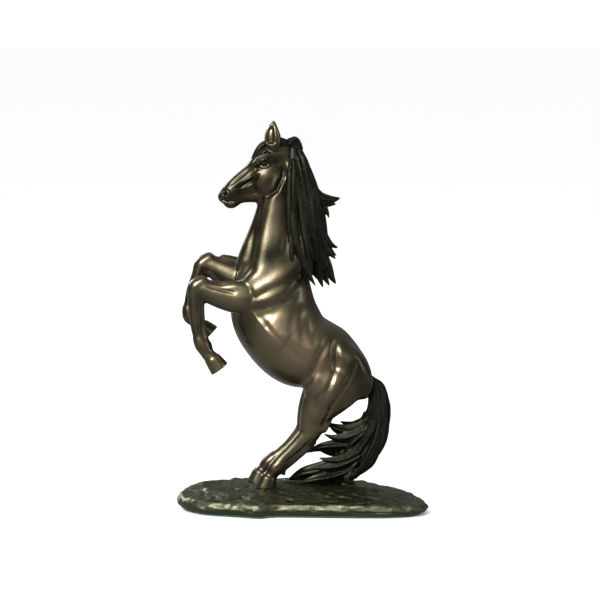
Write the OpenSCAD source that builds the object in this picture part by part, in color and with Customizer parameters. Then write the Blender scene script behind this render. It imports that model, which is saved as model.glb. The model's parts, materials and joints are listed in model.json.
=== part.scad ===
// Rearing horse, cast in bronze sections that are pinned together and bolted to a hollow rock base.
// Millimetres. +Z is up, the horse faces -X, and its left side is -Y. The origin is on the underside
// of the felt, at the middle of the base.

/* [Base] */
// Length of the base
base_l = 189; // [180:1:200]
// Depth of the base
base_d = 106; // [98:1:112]
// Height of the rock at its rim
rim_h = 8.5; // [8:0.5:10]
// Height of the rock under the hooves
mound_h = 18; // [17:0.5:19]
// Thickness of the base's bronze
base_wall = 3.6; // [3:0.2:4]

/* [Horse] */
// Thickness of the bronze in the hollow body
body_wall = 3.4; // [2.8:0.2:4]
// Thickness of the bronze in the hollow neck
neck_wall = 3; // [2.4:0.2:3.4]
// Gap round each tenon and sleeve
joint_gap = 0.2; // [0.15:0.05:0.3]

/* [Fixings] */
// Diameter of the studs under the hooves and tail
stud_d = 5; // [4:0.5:5]
// Diameter of the cross pins in the joints
pin_d = 2.5; // [2:0.25:3]
// Thickness of the felt
felt_t = 1.5; // [1:0.25:2]
// Thickness of the bottom board
board_t = 2; // [1.5:0.25:2.5]

/* [Hidden] */

BRONZE = [0.29, 0.22, 0.13];
DARK_BRONZE = [0.17, 0.16, 0.12];
ROCK_BRONZE = [0.20, 0.21, 0.13];
BRASS = [0.72, 0.56, 0.26];
STEEL = [0.62, 0.63, 0.65];
FELT = [0.05, 0.16, 0.09];
BOARD = [0.45, 0.33, 0.20];

round_sides = 16;
slim_sides = 12;
hole_fn = 24;
tenon_sides = 18;
joint_dish = 0.6;
ball_fn = 12;
foreleg_tenon_r = 3.5;
foreleg_tenon_l = 10;
hindleg_tenon_r = 4.5;
hindleg_tenon_l = 11;
tail_tenon_r = 3;
tail_tenon_l = 9;
pin_r = pin_d / 2;
pin_gap = joint_gap / 4;
stud_r = stud_d / 2;
FAR = 400;
left = -1;
right = 1;

// Stations of a form, in order along it: [x, y, z, half depth in the XZ plane, half width across].
trunk = [
    [-22, 0, 183, 20, 13], [-21.5, 0, 171, 26.5, 18.5], [-21, 0, 158, 28.5, 21], [-20.5, 0, 146, 29.5, 23],
    [-13.5, 0, 132, 30, 25], [-3, 0, 121, 29, 25.5], [10, 0, 115, 26.5, 24], [19.5, 0, 110, 25, 23.5],
    [30, 0, 103, 18.5, 22], [40, 0, 93, 13, 17], [45, 0, 85, 7, 9]];
neck = [
    [-21.5, 0, 168, 25, 16.5], [-21, 0, 180, 25.5, 16], [-20, 0, 196, 22.5, 13.5], [-18.5, 0, 211, 19.5, 11.5],
    [-16.5, 0, 226, 16.5, 10], [-15, 0, 240, 14.5, 9.2], [-14, 0, 253, 12.5, 8.8], [-13.5, 0, 264, 10, 8],
    [-14, 0, 272, 5, 5]];
head = [
    [-12, 0, 266, 8, 6.5], [-20, 0, 263, 12, 8.5], [-28, 0, 255, 16, 9.8], [-36, 0, 248, 14.5, 8.8],
    [-44.5, 0, 243, 11, 6.8], [-52.5, 0, 238.5, 8.6, 5.8], [-58, 0, 235.2, 7.4, 6], [-61.2, 0, 233.2, 4, 4]];
// Front leg, near the ground last; each leg has its own.
left_foreleg = [
    [-26, -8, 166, 14, 8], [-37, -12.5, 163, 11.5, 8.5], [-50, -14, 165.5, 9, 7.5], [-64, -14.5, 169, 7.4, 6.4],
    [-75.5, -15, 171.5, 6.8, 6], [-79, -15, 163.5, 5.8, 5.4], [-79, -15, 149, 4.4, 4.3], [-77.5, -15, 135, 4, 4],
    [-74, -14.5, 125, 4.8, 4.7], [-69.5, -14, 117.5, 4, 4.1], [-66.5, -13.8, 112.5, 4.8, 4.8],
    [-62, -13.5, 106.5, 5.4, 5.4]];
right_foreleg = [
    [-26, 8, 170, 14, 8], [-37, 12.5, 172, 11.5, 8.5], [-49, 14, 177, 9, 7.5], [-60, 14.5, 182, 7.6, 6.4],
    [-70, 15, 184.5, 7, 6], [-77, 15, 177, 5.8, 5.4], [-81.5, 15, 166, 4.4, 4.3], [-85, 15, 155.5, 4.1, 4],
    [-85.5, 15, 148, 4.8, 4.7], [-80.5, 15, 142.5, 4, 4.1], [-76, 15, 138.5, 4.8, 4.8],
    [-70.5, 15, 133.5, 5.4, 5.4]];
left_hindleg = [
    [27, -9, 104, 19, 10], [21, -12, 93, 18.5, 11.5], [16.5, -13, 83, 15.5, 10.5], [11.5, -13, 72, 11, 8.2],
    [9.5, -13, 65, 9.6, 6.6], [7, -13, 58.5, 9, 6], [1, -13, 50.5, 6.3, 5.2], [-6, -13, 43.5, 4.7, 4.5],
    [-13, -13, 37.5, 4.6, 4.4], [-19, -13, 32, 5.5, 5.3], [-22.5, -13, 27.5, 4.9, 4.9], [-24.5, -13, 24.5, 6.2, 6],
    [-27, -13, 17, 7.6, 7]];
right_hindleg = [
    [27, 9, 104, 19, 10], [21, 12, 93, 18.5, 11.5], [16, 13, 83, 15.5, 10.5], [10, 13, 72, 11, 8.2],
    [7.5, 13, 65, 9.6, 6.6], [4.5, 13, 58, 9, 6], [-3, 13, 49.5, 6.3, 5.2], [-11, 13, 42.5, 4.7, 4.5],
    [-18.5, 13, 36.5, 4.6, 4.4], [-25, 13, 31, 5.5, 5.3], [-28.5, 13, 27, 4.9, 4.9], [-30.5, 13, 24.5, 6.2, 6],
    [-33, 13, 17, 7.6, 7]];
tail = [
    [44, 0, 95, 5.5, 5.5], [51, 0, 96, 6.3, 6], [57.5, 0, 91, 7.5, 7], [60, 0, 82, 8, 8], [59.5, 0, 71, 8.8, 8.5],
    [56.5, 0, 60, 11, 9], [51, 0, 49, 14, 10], [43, 0, 38, 15, 11], [34, 0, 28, 13, 12], [27, 0, 19, 11, 12]];
tail_locks = [
    [[54, -2, 64, 6, 5], [42, -3, 61, 5, 4.5], [30, -3.5, 61, 3.4, 3.5], [21, -4, 64.5, 1, 1.2]],
    [[46, 0, 50, 7, 6], [30, -3, 47, 5, 4.5], [16, -5, 45.5, 3, 3], [5, -6, 42, 1, 1]],
    [[38, 3, 30, 7, 7], [20, 3, 28, 5.5, 6], [6, 3, 25.5, 3.6, 5], [-8, 3, 20, 1.4, 2]]];
mane = [
    [-7, -2, 277, 3, 3], [-4, -3, 271, 6.5, 6], [0, -3.5, 258, 9, 7.5], [3, -4, 243, 11.5, 9],
    [5, -4, 228, 13.5, 10], [6.5, -4, 212, 15, 10.5], [8.5, -4, 196, 14, 11], [11, -4, 182, 9.5, 9],
    [14, -3, 174, 4.5, 5]];
mane_locks = [
    [[6, 0, 243, 7, 6], [18, 0, 238, 4, 4], [27, 0, 233, 1, 1.2]],
    [[8, 0, 208, 8, 6], [18, 0, 199, 5, 4.5], [24.5, 0, 191, 1, 1.2]],
    [[12, -1, 188, 7, 6], [20, -1, 178, 4, 4], [25, -1, 171.5, 1, 1.2]]];
left_ear = [
    [-22, -4.6, 271, 5, 3], [-22.5, -5, 278, 5.2, 2.8], [-22, -5.4, 285, 3.6, 2.2], [-21.6, -5.4, 291.7, 0.9, 0.8]];

// Muscles: [x, y on the right side, z, radius] at each end, and how far the muscle is flattened.
thigh_muscles = [
    [[24, 10.8, 101, 12], [12, 13, 88, 8], 0.9], [[36, 9, 96, 10], [26, 13, 87, 7], 0.9]];
shoulder_muscles = [
    [[-14, 12.5, 176, 8], [-32, 12.5, 160, 9], 0.9], [[-36, 6.25, 178, 9], [-36, 10, 166, 8], 0.9]];
head_muscles = [
    [[-29, 4, 246, 9], [-32, 4, 240, 7], 0.8], [[-31, 5, 262, 5], [-37, 4, 256, 4], 0.8],
    [[-56, 2.5, 236, 4.5], [-59, 2.5, 235, 3.6], 0.9], [[-48, 1.5, 234.5, 3.4], [-56, 1.5, 231.5, 3], 0.9]];
// Fullness of hair beside its middle line: [offset at one station, offset at the next, share of width].
mane_bulk = [[3, -2.5, 0], [5, -2, 0], 0.72];
tail_bulk = [[2, -3, 0], [2, -3, 0], 0.7];
hair_squeeze = 0.9;
// Share of a leg's width that the swelling between two stations has.
leg_bulk = 0.98;

// The station at which each section leaves the body.
foreleg_start = 2;
hindleg_start = 3;
tail_start = 1;

// Where the fixings stand: [x, y] of each stud, and the top of each in the casting above it.
stud_places = [[-27, -13], [-33, 13], [30, 0]];
stud_top = 27;
washer_top = 12;
washer_t = 1;
washer_r = 6;
washer_gap = 0.15;
nut_t = 4;
nut_r = 4.6;
nut_gap = 0.05;
stud_foot = washer_top - washer_t - nut_t - 1.5;
stud_boss_r = 7.5;
stud_boss_l = 3.5;
screw_places = [[-62, 0], [62, 0], [-5, 33], [-5, -33]];
screw_r = 1.4;
screw_l = 5;
screw_hole_r = 1.5;
screw_hole_l = 6;
screw_boss_r = 4;
screw_boss_l = 8.5;
screw_head_r = 2.8;
screw_head_t = 0.8;
head_room = 0.9;
head_hole_r = 3;
board_hole_r = 1.7;
cavity_foot = felt_t + board_t;
// Shares of the rock's outline that the felt and the board fill.
felt_share = 0.94;
board_share = 0.855;
// Room left round a hole's mouth so that the cut passes clean through.
clear = 1;

// Cross pins: how far each lies behind its joint face, and its length.
foreleg_pin = [5, 13];
hindleg_pin = [6, 16];
tail_pin_size = [4, 11];
// The neck's pins: height of their middle, spread, half width of the neck there, and how far a pin stands in.
neck_pin_z = 178;
neck_pin_spread = 4.5;
neck_half_width = 16.2;
neck_pin_depth = 2.4;
pin_bed = 0.4;
// Dowels under the mane: [x, z, half width of the neck there].
dowel_places = [[-6, 250, 8.2], [-6, 226, 9.2], [-4, 204, 11.4]];
dowel_l = 6;
// Plugs in the holes that the core pins left: [x, y, z] on the skin.
core_places = [[-24, -24, 150], [-24, 24, 150], [8, -24.5, 117], [8, 24.5, 117]];
core_plug_r = 1.6;
core_plug_l = 4.4;
core_plug_depth = 2.6;
// The sleeve inside the neck joint: half its length, and its thickness.
sleeve_reach = 8;
sleeve_t = 2;
// Height at which the hollow of the neck ends.
neck_hollow_top = 246;

function place(s) = [s[0], s[1], s[2]];
function unit(v) = v / norm(v);
function heading(form, i) = unit(place(form[min(i + 1, len(form) - 1)]) - place(form[max(i - 1, 0)]));
function over(d) = unit(cross(d, [0, 1, 0]));
function ring(form, i, grow, sides) =
    let (c = place(form[i]), d = heading(form, i), n = over(d), b = cross(n, d),
        deep = max(form[i][3] + grow, 0.4), wide = max(form[i][4] + grow, 0.4))
    [for (k = [0 : sides - 1]) c + n * deep * cos(360 * k / sides) + b * wide * sin(360 * k / sides)];
function end_point(form, i, way, grow) =
    place(form[i]) + heading(form, i) * way * 0.45 * max(min(form[i][3], form[i][4]) + grow, 0.4);

// A parting: [a point on its face, the direction away from the body].
function parting(form, i) = [place(form[i]), heading(form, i)];
neck_cut = [[-21, 0, neck_pin_z], [0.2, 0, 0.98]];
left_fore_cut = parting(left_foreleg, foreleg_start);
right_fore_cut = parting(right_foreleg, foreleg_start);
left_hind_cut = parting(left_hindleg, hindleg_start);
right_hind_cut = parting(right_hindleg, hindleg_start);
tail_cut = parting(tail, tail_start);

// The middle of a joint face, which is dished a little towards the body so that the sections register.
function dish(form, i) = place(form[i]) - heading(form, i) * joint_dish;

// A closed form drawn through its stations, thicker or thinner all over by grow. It starts or stops
// with a joint face when it is drawn from or to a station inside the list.
module form(stations, grow = 0, sides = round_sides, from = 0, to = 99) {
    end = min(to, len(stations) - 1);
    last = end - from;
    rings = [for (i = [from : end]) ring(stations, i, grow, sides)];
    points = concat([for (r = rings) each r], [
        from > 0 ? dish(stations, from) : end_point(stations, 0, -1, grow),
        end < len(stations) - 1 ? dish(stations, end) : end_point(stations, end, 1, grow)]);
    first_tip = (last + 1) * sides;
    walls = [for (i = [0 : last - 1], k = [0 : sides - 1]) let (
            a = i * sides + k, b = i * sides + (k + 1) % sides)
        each [[a, b, b + sides], [a, b + sides, a + sides]]];
    caps = [for (k = [0 : sides - 1]) each [
        [first_tip, (k + 1) % sides, k],
        [first_tip + 1, last * sides + k, last * sides + (k + 1) % sides]]];
    polyhedron(points, concat(walls, caps), convexity = 10);
}

// A muscle or a rock: the hull of two balls.
module swell(a, b, ra, rb, squeeze = 1) {
    hull() {
        translate(a) scale([1, squeeze, 1]) sphere(ra, $fn = ball_fn);
        translate(b) scale([1, squeeze, 1]) sphere(rb, $fn = ball_fn);
    }
}

module turned_to(direction) {
    d = unit(direction);
    rotate([0, acos(d[2]), atan2(d[1], d[0])]) children();
}

// All of space on the far side of a cut.
module beyond(cut) {
    translate(cut[0]) turned_to(cut[1]) translate([-FAR / 2, -FAR / 2, 0]) cube(FAR);
}

// A tenon that reaches back from a cut into the body.
module tenon(cut, r, length, gap = 0) {
    translate(cut[0]) turned_to(cut[1]) translate([0, 0, -length - gap])
        cylinder(r = r + gap, h = length + gap + 2, $fn = tenon_sides);
}

module cross_pin(at, length, gap = 0) {
    translate([at[0], at[1] - length / 2 - gap, at[2]]) rotate([-90, 0, 0])
        cylinder(r = pin_r + gap, h = length + 2 * gap, $fn = hole_fn);
}

function behind(cut, depth) = cut[0] - unit(cut[1]) * depth;

// ---- The rock base ----

// Corners of the rock's outline, seen from above, for a base 189 long and 106 deep.
rock_corners = [
    [94.5, -30], [90, -6], [76, 20], [52, 39], [20, 49], [-20, 53], [-48, 51], [-76, 42], [-90, 22],
    [-94.5, -1], [-92, -21], [-76, -38], [-52, -46.5], [-33, -53], [-19, -48], [25, -50], [60, -51], [84, -46]];
corner_steps = 3;
corners = len(rock_corners);
rock_steps = corners * corner_steps;
function corner(i) = rock_corners[(i + corners) % corners];
function bend(a, b, c, d, t) = 0.5 * (2 * b + (c - a) * t + (2 * a - 5 * b + 4 * c - d) * t * t
    + (3 * b - a - 3 * c + d) * t * t * t);
raw = [for (i = [0 : corners - 1], k = [0 : corner_steps - 1])
    bend(corner(i - 1), corner(i), corner(i + 1), corner(i + 2), k / corner_steps)];
raw_x = [for (p = raw) p[0]];
raw_y = [for (p = raw) p[1]];
function centred(v, list, size) = (v - (max(list) + min(list)) / 2) * size / (max(list) - min(list));
edge = [for (p = raw) [centred(p[0], raw_x, base_l), centred(p[1], raw_y, base_d)]];
// Stones that stand out of the rock: [x, y, how far it rises, how wide it is].
stones = [
    [-36, -36, 3, 11], [-56, -30, 2.2, 9], [-12, -36, 2, 8], [-70, -10, 2.4, 10], [58, -34, 2.4, 11],
    [46, 26, 2, 10], [-50, 30, 2.6, 12], [18, -37, 1.8, 7], [74, -12, 1.8, 8], [-74, 22, 2, 9], [6, 34, 1.6, 9]];
ones = [for (s = stones) 1];
function stone_rise(p) = ones * [for (s = stones) s[2] * exp(-pow(norm(p - [s[0], s[1]]) / s[3] * 1.6, 2))];
function rim_top(p) = rim_h + 2.2 * (p[1] - 0.6 * p[0]) / base_d;
function rock_top(p, f) = let (low = felt_t + rim_top(p))
    low + (mound_h - low) * (1 - pow(f, 2.6)) + stone_rise(p) * (1 - pow(1 - f, 0.7));

// Rings from the underside out over the rim to the crown: [share of the outline, share of the rim's height].
rim_rings = [[0.945, 0], [0.985, 0.22], [1, 0.5], [0.985, 0.8]];
crown_rings = [0.94, 0.87, 0.79, 0.7, 0.6, 0.49, 0.37, 0.24, 0.11];
rock_rows = len(rim_rings) + len(crown_rings);
// Half the rock's depth, by which a share of the outline becomes a thickness.
rock_half = 52;

function rim_ring(step, inset) = [for (p = edge)
    let (f = step[0] - inset / rock_half) [p[0] * f, p[1] * f, felt_t + step[1] * rim_top(p)]];
function crown_ring(f, inset) = [for (p = edge)
    let (g = f - inset / rock_half) [p[0] * g, p[1] * g, rock_top(p * f, f) - inset]];
function rock_points(inset) = concat(
    [for (step = rim_rings) each rim_ring(step, inset)],
    [for (f = crown_rings) each crown_ring(f, inset)],
    [[0, 0, mound_h - inset]]);
function turned_over(face, over) = over ? [face[2], face[1], face[0]] : face;
function rock_faces(first, over) = let (n = rock_steps, top = first + rock_rows * n) concat(
    [for (i = [0 : rock_rows - 2], k = [0 : n - 1])
        let (a = first + i * n + k, b = first + i * n + (k + 1) % n)
        each [turned_over([a, b + n, b], over), turned_over([a, a + n, b + n], over)]],
    [for (k = [0 : n - 1]) turned_over([top, top - n + (k + 1) % n, top - n + k], over)]);

// The rock as a full solid, for cutting the horse's feet to its surface.
module rock_form() {
    foot = [[for (k = [0 : rock_steps - 1]) k]];
    polyhedron(rock_points(0), concat(rock_faces(0, false), foot), convexity = 10);
}

// The rock as a hollow shell, open underneath.
module rock_shell() {
    n = rock_steps;
    second = rock_rows * n + 1;
    lip = [for (k = [0 : n - 1]) let (j = (k + 1) % n)
        each [[k, j, second + j], [k, second + j, second + k]]];
    polyhedron(concat(rock_points(0), rock_points(base_wall)),
        concat(rock_faces(0, false), rock_faces(second, true), lip), convexity = 10);
}

module base_casting() {
    color(ROCK_BRONZE) difference() {
        union() {
            rock_shell();
            for (p = stud_places) translate([p[0], p[1], washer_top])
                cylinder(r = stud_boss_r, h = stud_boss_l, $fn = hole_fn);
            for (p = screw_places) translate([p[0], p[1], cavity_foot])
                cylinder(r = screw_boss_r, h = screw_boss_l, $fn = hole_fn);
        }
        for (p = stud_places) translate([p[0], p[1], -clear])
            cylinder(r = stud_r + joint_gap, h = stud_top + clear, $fn = hole_fn);
        for (p = screw_places) translate([p[0], p[1], -clear])
            cylinder(r = screw_hole_r, h = cavity_foot + screw_hole_l, $fn = hole_fn);
    }
}

module outline(share) {
    polygon([for (p = edge) p * share]);
}

module felt_pad() {
    color(FELT) linear_extrude(felt_t) outline(felt_share);
}

module bottom_board() {
    color(BOARD) difference() {
        translate([0, 0, felt_t]) linear_extrude(board_t) outline(board_share);
        for (p = screw_places) translate([p[0], p[1], 0])
            cylinder(r = board_hole_r, h = cavity_foot + clear, $fn = hole_fn);
        for (p = screw_places) translate([p[0], p[1], felt_t - clear])
            cylinder(r = head_hole_r, h = clear + head_room, $fn = hole_fn);
    }
}

module board_screws() {
    color(STEEL) for (p = screw_places) translate([p[0], p[1], felt_t]) {
        cylinder(r = screw_head_r, h = screw_head_t, $fn = hole_fn);
        cylinder(r = screw_r, h = board_t + screw_l, $fn = hole_fn);
    }
}

// ---- The horse ----

function on_side(end, side) = [end[0], side * end[1], end[2]];

module muscles(list, side) {
    for (m = list) swell(on_side(m[0], side), on_side(m[1], side), m[0][3], m[1][3], m[2]);
}

module thigh_form(stations, side) {
    form(stations, to = hindleg_start);
    muscles(thigh_muscles, side);
}

module shoulder_form(stations, side) {
    form(stations, sides = slim_sides, to = foreleg_start);
    muscles(shoulder_muscles, side);
}

module body_form() {
    form(trunk);
    thigh_form(left_hindleg, left);
    thigh_form(right_hindleg, right);
    shoulder_form(left_foreleg, left);
    shoulder_form(right_foreleg, right);
    form(tail, to = tail_start);
}

module body_casting() {
    color(BRONZE) difference() {
        body_form();
        form(trunk, -body_wall);
        beyond(neck_cut);
        tenon(left_fore_cut, foreleg_tenon_r, foreleg_tenon_l, joint_gap);
        tenon(right_fore_cut, foreleg_tenon_r, foreleg_tenon_l, joint_gap);
        tenon(left_hind_cut, hindleg_tenon_r, hindleg_tenon_l, joint_gap);
        tenon(right_hind_cut, hindleg_tenon_r, hindleg_tenon_l, joint_gap);
        tenon(tail_cut, tail_tenon_r, tail_tenon_l, joint_gap);
        foreleg_pins(pin_gap);
        hindleg_pins(pin_gap);
        tail_pin(pin_gap);
        neck_pins(pin_gap);
        core_plugs(pin_gap);
    }
}

module ear(side) {
    form([for (s = left_ear) [s[0], side * s[1] * -1, s[2], s[3], s[4]]], 0, 8);
}

module head_neck_casting() {
    color(BRONZE) difference() {
        union() {
            intersection() {
                union() {
                    form(neck);
                    shoulder_form(left_foreleg, left);
                    shoulder_form(right_foreleg, right);
                }
                beyond(neck_cut);
            }
            form(head);
            for (side = [left, right]) {
                ear(side);
                muscles(head_muscles, side);
            }
        }
        difference() {
            form(neck, -neck_wall);
            translate([-FAR / 2, -FAR / 2, neck_hollow_top]) cube(FAR);
        }
        neck_pins(pin_gap);
        dowels(pin_gap);
    }
}

// Fullness along a fall of hair, from station first to the one after last.
module hair_swells(fall, bulk, first, last) {
    for (i = [first : last]) swell(place(fall[i]) + bulk[0], place(fall[i + 1]) + bulk[1],
        fall[i][4] * bulk[2], fall[i + 1][4] * bulk[2], hair_squeeze);
}

module mane_casting() {
    color(DARK_BRONZE) difference() {
        union() {
            form(mane);
            for (lock = mane_locks) form(lock, 0, 8);
            hair_swells(mane, mane_bulk, 1, 7);
            swell([4, -5, 226], [10, -6, 204], 6, 6, hair_squeeze);
        }
        form(neck);
        form(head);
        form(trunk);
        shoulder_form(left_foreleg, left);
        shoulder_form(right_foreleg, right);
        for (side = [left, right]) ear(side);
        dowels(pin_gap);
    }
}

module tail_hair() {
    difference() {
        union() {
            form(tail, from = tail_start);
            for (lock = tail_locks) form(lock, 0, 8);
            hair_swells(tail, tail_bulk, 2, 8);
            swell([40, -5, 44], [34, -5, 30], 7, 7, hair_squeeze);
        }
        rock_form();
        form(trunk);
        form(left_hindleg);
        form(right_hindleg);
        stud_hole(stud_places[2]);
    }
}

module tail_casting() {
    color(DARK_BRONZE) difference() {
        union() {
            tail_hair();
            tenon(tail_cut, tail_tenon_r, tail_tenon_l);
        }
        tail_pin(pin_gap);
    }
}

module stud_hole(p) {
    translate([p[0], p[1], 0]) cylinder(r = stud_r + joint_gap, h = stud_top + 0.5, $fn = hole_fn);
}

module foreleg_casting(stations, cut) {
    far_end = len(stations) - 1;
    color(BRONZE) difference() {
        union() {
            form(stations, sides = slim_sides, from = foreleg_start);
            tenon(cut, foreleg_tenon_r, foreleg_tenon_l);
            for (i = [3 : far_end - 1]) swell(place(stations[i]), place(stations[i + 1]),
                stations[i][4] * leg_bulk, stations[i + 1][4] * leg_bulk);
        }
        foreleg_pins(pin_gap);
    }
}

module hindleg_casting(stations, cut, stud) {
    color(BRONZE) difference() {
        union() {
            form(stations, from = hindleg_start);
            tenon(cut, hindleg_tenon_r, hindleg_tenon_l);
            for (i = [4 : 11]) swell(place(stations[i]), place(stations[i + 1]),
                stations[i][4] * leg_bulk, stations[i + 1][4] * leg_bulk);
            swell(place(stations[5]) + [3, 0, 2], place(stations[5]) + [9, 0, 6], 5, 4, 0.9);
        }
        rock_form();
        hindleg_pins(pin_gap);
        stud_hole(stud);
    }
}

// ---- Pins, sleeve, studs ----

module foreleg_pins(gap = 0) {
    left_foreleg_bar(gap);
    right_foreleg_bar(gap);
}

module hindleg_pins(gap = 0) {
    left_hindleg_bar(gap);
    right_hindleg_bar(gap);
}

// The pin across a joint, for a size of [distance behind the joint face, length].
module joint_bar(cut, size, gap) { cross_pin(behind(cut, size[0]), size[1], gap); }

module left_foreleg_bar(gap = 0) { joint_bar(left_fore_cut, foreleg_pin, gap); }
module right_foreleg_bar(gap = 0) { joint_bar(right_fore_cut, foreleg_pin, gap); }
module left_hindleg_bar(gap = 0) { joint_bar(left_hind_cut, hindleg_pin, gap); }
module right_hindleg_bar(gap = 0) { joint_bar(right_hind_cut, hindleg_pin, gap); }
module tail_pin(gap = 0) { joint_bar(tail_cut, tail_pin_size, gap); }

module neck_pins(gap = 0) {
    for (side = [left, right], up = [-neck_pin_spread, neck_pin_spread])
        cross_pin(neck_cut[0] + [0.2 * up, side * (neck_half_width - neck_wall + pin_bed), up],
            neck_wall + neck_pin_depth, gap);
}

module dowels(gap = 0) {
    for (s = dowel_places) cross_pin([s[0], -s[2] + pin_bed, s[1]], dowel_l, gap);
}

module core_plugs(gap = 0) {
    for (p = core_places) translate([p[0], p[1] - sign(p[1]) * core_plug_depth, p[2]]) rotate([-90, 0, 0])
        translate([0, 0, -core_plug_l / 2 - gap])
            cylinder(r = core_plug_r + gap, h = core_plug_l + 2 * gap, $fn = hole_fn);
}

// The band of space that lies within reach of a cut.
module band(cut, reach) {
    translate(cut[0]) turned_to(cut[1]) cube([FAR, FAR, 2 * reach], center = true);
}

module neck_joint_sleeve() {
    outer = -body_wall - joint_gap;
    color(BRASS) difference() {
        intersection() {
            form(trunk, outer);
            form(neck, outer);
            band(neck_cut, sleeve_reach);
        }
        intersection() {
            form(trunk, outer - sleeve_t);
            form(neck, outer - sleeve_t);
        }
        neck_pins(pin_gap);
    }
}

module stud(p) {
    color(STEEL) translate([p[0], p[1], stud_foot])
        cylinder(r = stud_r, h = stud_top - stud_foot, $fn = hole_fn);
}

module stud_washers() {
    color(STEEL) for (p = stud_places) translate([p[0], p[1], washer_top - washer_t]) difference() {
        cylinder(r = washer_r, h = washer_t, $fn = hole_fn);
        translate([0, 0, -clear])
            cylinder(r = stud_r + washer_gap, h = washer_t + 2 * clear, $fn = hole_fn);
    }
}

module stud_nuts() {
    color(STEEL) for (p = stud_places) translate([p[0], p[1], washer_top - washer_t - nut_t]) difference() {
        cylinder(r = nut_r, h = nut_t, $fn = 6);
        translate([0, 0, -clear]) cylinder(r = stud_r + nut_gap, h = nut_t + 2 * clear, $fn = hole_fn);
    }
}

felt_pad();
bottom_board();
board_screws();
base_casting();
body_casting();
head_neck_casting();
mane_casting();
tail_casting();
foreleg_casting(left_foreleg, left_fore_cut);  // left_foreleg_casting
foreleg_casting(right_foreleg, right_fore_cut);  // right_foreleg_casting
hindleg_casting(left_hindleg, left_hind_cut, stud_places[0]);  // left_hindleg_casting
hindleg_casting(right_hindleg, right_hind_cut, stud_places[1]);  // right_hindleg_casting
neck_joint_sleeve();
color(BRASS) neck_pins();  // neck_joint_pins
color(BRASS) left_foreleg_bar();  // left_foreleg_pin
color(BRASS) right_foreleg_bar();  // right_foreleg_pin
color(BRASS) left_hindleg_bar();  // left_hindleg_pin
color(BRASS) right_hindleg_bar();  // right_hindleg_pin
color(BRASS) tail_pin();  // tail_root_pin
color(BRASS) dowels();  // mane_dowels
stud(stud_places[0]);  // left_hoof_stud
stud(stud_places[1]);  // right_hoof_stud
stud(stud_places[2]);  // tail_stud
stud_washers();
stud_nuts();
color(BRONZE) core_plugs();  // core_hole_plugs
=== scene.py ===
"""A rearing horse in patinated bronze: chased castings, hair, rock base, felt and fittings.

All sizes in the classes are in millimetres in the frame of the castings: the horse faces -X, its
left side is -Y, and Z is up from the underside of the felt. Meshes are stored in metres.
"""

from __future__ import annotations

import json
import logging
import math
from dataclasses import dataclass
from enum import Enum
from typing import Callable, Sequence

import bpy
import numpy as np
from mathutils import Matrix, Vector, noise

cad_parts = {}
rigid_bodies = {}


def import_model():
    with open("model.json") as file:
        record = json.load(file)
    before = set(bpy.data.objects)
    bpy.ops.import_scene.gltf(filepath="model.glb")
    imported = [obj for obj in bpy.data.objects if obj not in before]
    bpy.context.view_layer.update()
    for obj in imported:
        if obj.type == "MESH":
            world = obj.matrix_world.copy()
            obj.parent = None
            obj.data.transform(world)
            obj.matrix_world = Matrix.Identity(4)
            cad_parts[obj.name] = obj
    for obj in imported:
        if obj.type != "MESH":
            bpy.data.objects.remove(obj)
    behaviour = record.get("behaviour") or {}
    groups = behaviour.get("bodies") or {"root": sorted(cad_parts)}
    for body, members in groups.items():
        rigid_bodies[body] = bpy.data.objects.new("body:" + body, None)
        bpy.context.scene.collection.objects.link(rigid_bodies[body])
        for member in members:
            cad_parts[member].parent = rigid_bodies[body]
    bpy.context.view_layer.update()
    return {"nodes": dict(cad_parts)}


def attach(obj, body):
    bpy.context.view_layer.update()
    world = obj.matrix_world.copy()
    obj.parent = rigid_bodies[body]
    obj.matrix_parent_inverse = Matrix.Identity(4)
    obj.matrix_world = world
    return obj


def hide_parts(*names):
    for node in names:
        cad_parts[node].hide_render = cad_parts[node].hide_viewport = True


MM = 0.001
log = logging.getLogger("horse")

Piece = bpy.types.Object
Socket = bpy.types.NodeSocket
Colour = tuple[float, float, float]
Place = tuple[float, float, float]
Point2 = tuple[float, float]
Spot = tuple[float, float, float, float]
Row = tuple[float, float, float, float, float]
Rows = Sequence[Row]

LEAST_GIRTH = 0.15  # no form is drawn out thinner than this
RUB = 0.6  # how much of the way to its neighbours' mean a pass moves a point
PUT_BACK = 0.62  # how much of the way back the pass after it moves the point
BLOCK = 20000  # how many points are compared with a line at a time


class Side(Enum):
    """The two sides of the horse, with the sign of Y on each."""

    LEFT = -1
    RIGHT = 1


# Working the wax


def put_down_tools() -> None:
    """Leave edit mode and deselect everything."""
    if bpy.context.object and bpy.context.object.mode != "OBJECT":
        bpy.ops.object.mode_set(mode="OBJECT")
    bpy.ops.object.select_all(action="DESELECT")


def pick_up(piece: Piece) -> None:
    """Make one piece the only selected and active one."""
    put_down_tools()
    piece.select_set(True)
    bpy.context.view_layer.objects.active = piece


def open_mesh(piece: Piece, taken: str = "SELECT") -> None:
    """Open one piece's mesh with all of it selected, or with "DESELECT" nothing."""
    pick_up(piece)
    bpy.ops.object.mode_set(mode="EDIT")
    bpy.ops.mesh.select_all(action=taken)


def select_linked_to(piece: Piece, seed: int) -> None:
    """Open one piece's mesh with only what hangs together with one vertex selected."""
    open_mesh(piece, "DESELECT")
    bpy.ops.mesh.select_mode(type="VERT")
    bpy.ops.object.mode_set(mode="OBJECT")
    piece.data.vertices[seed].select = True
    bpy.ops.object.mode_set(mode="EDIT")
    bpy.ops.mesh.select_linked()


def rename(piece: Piece, name: str) -> None:
    """Give a piece and its mesh one name."""
    piece.name = name
    piece.data.name = name


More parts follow.
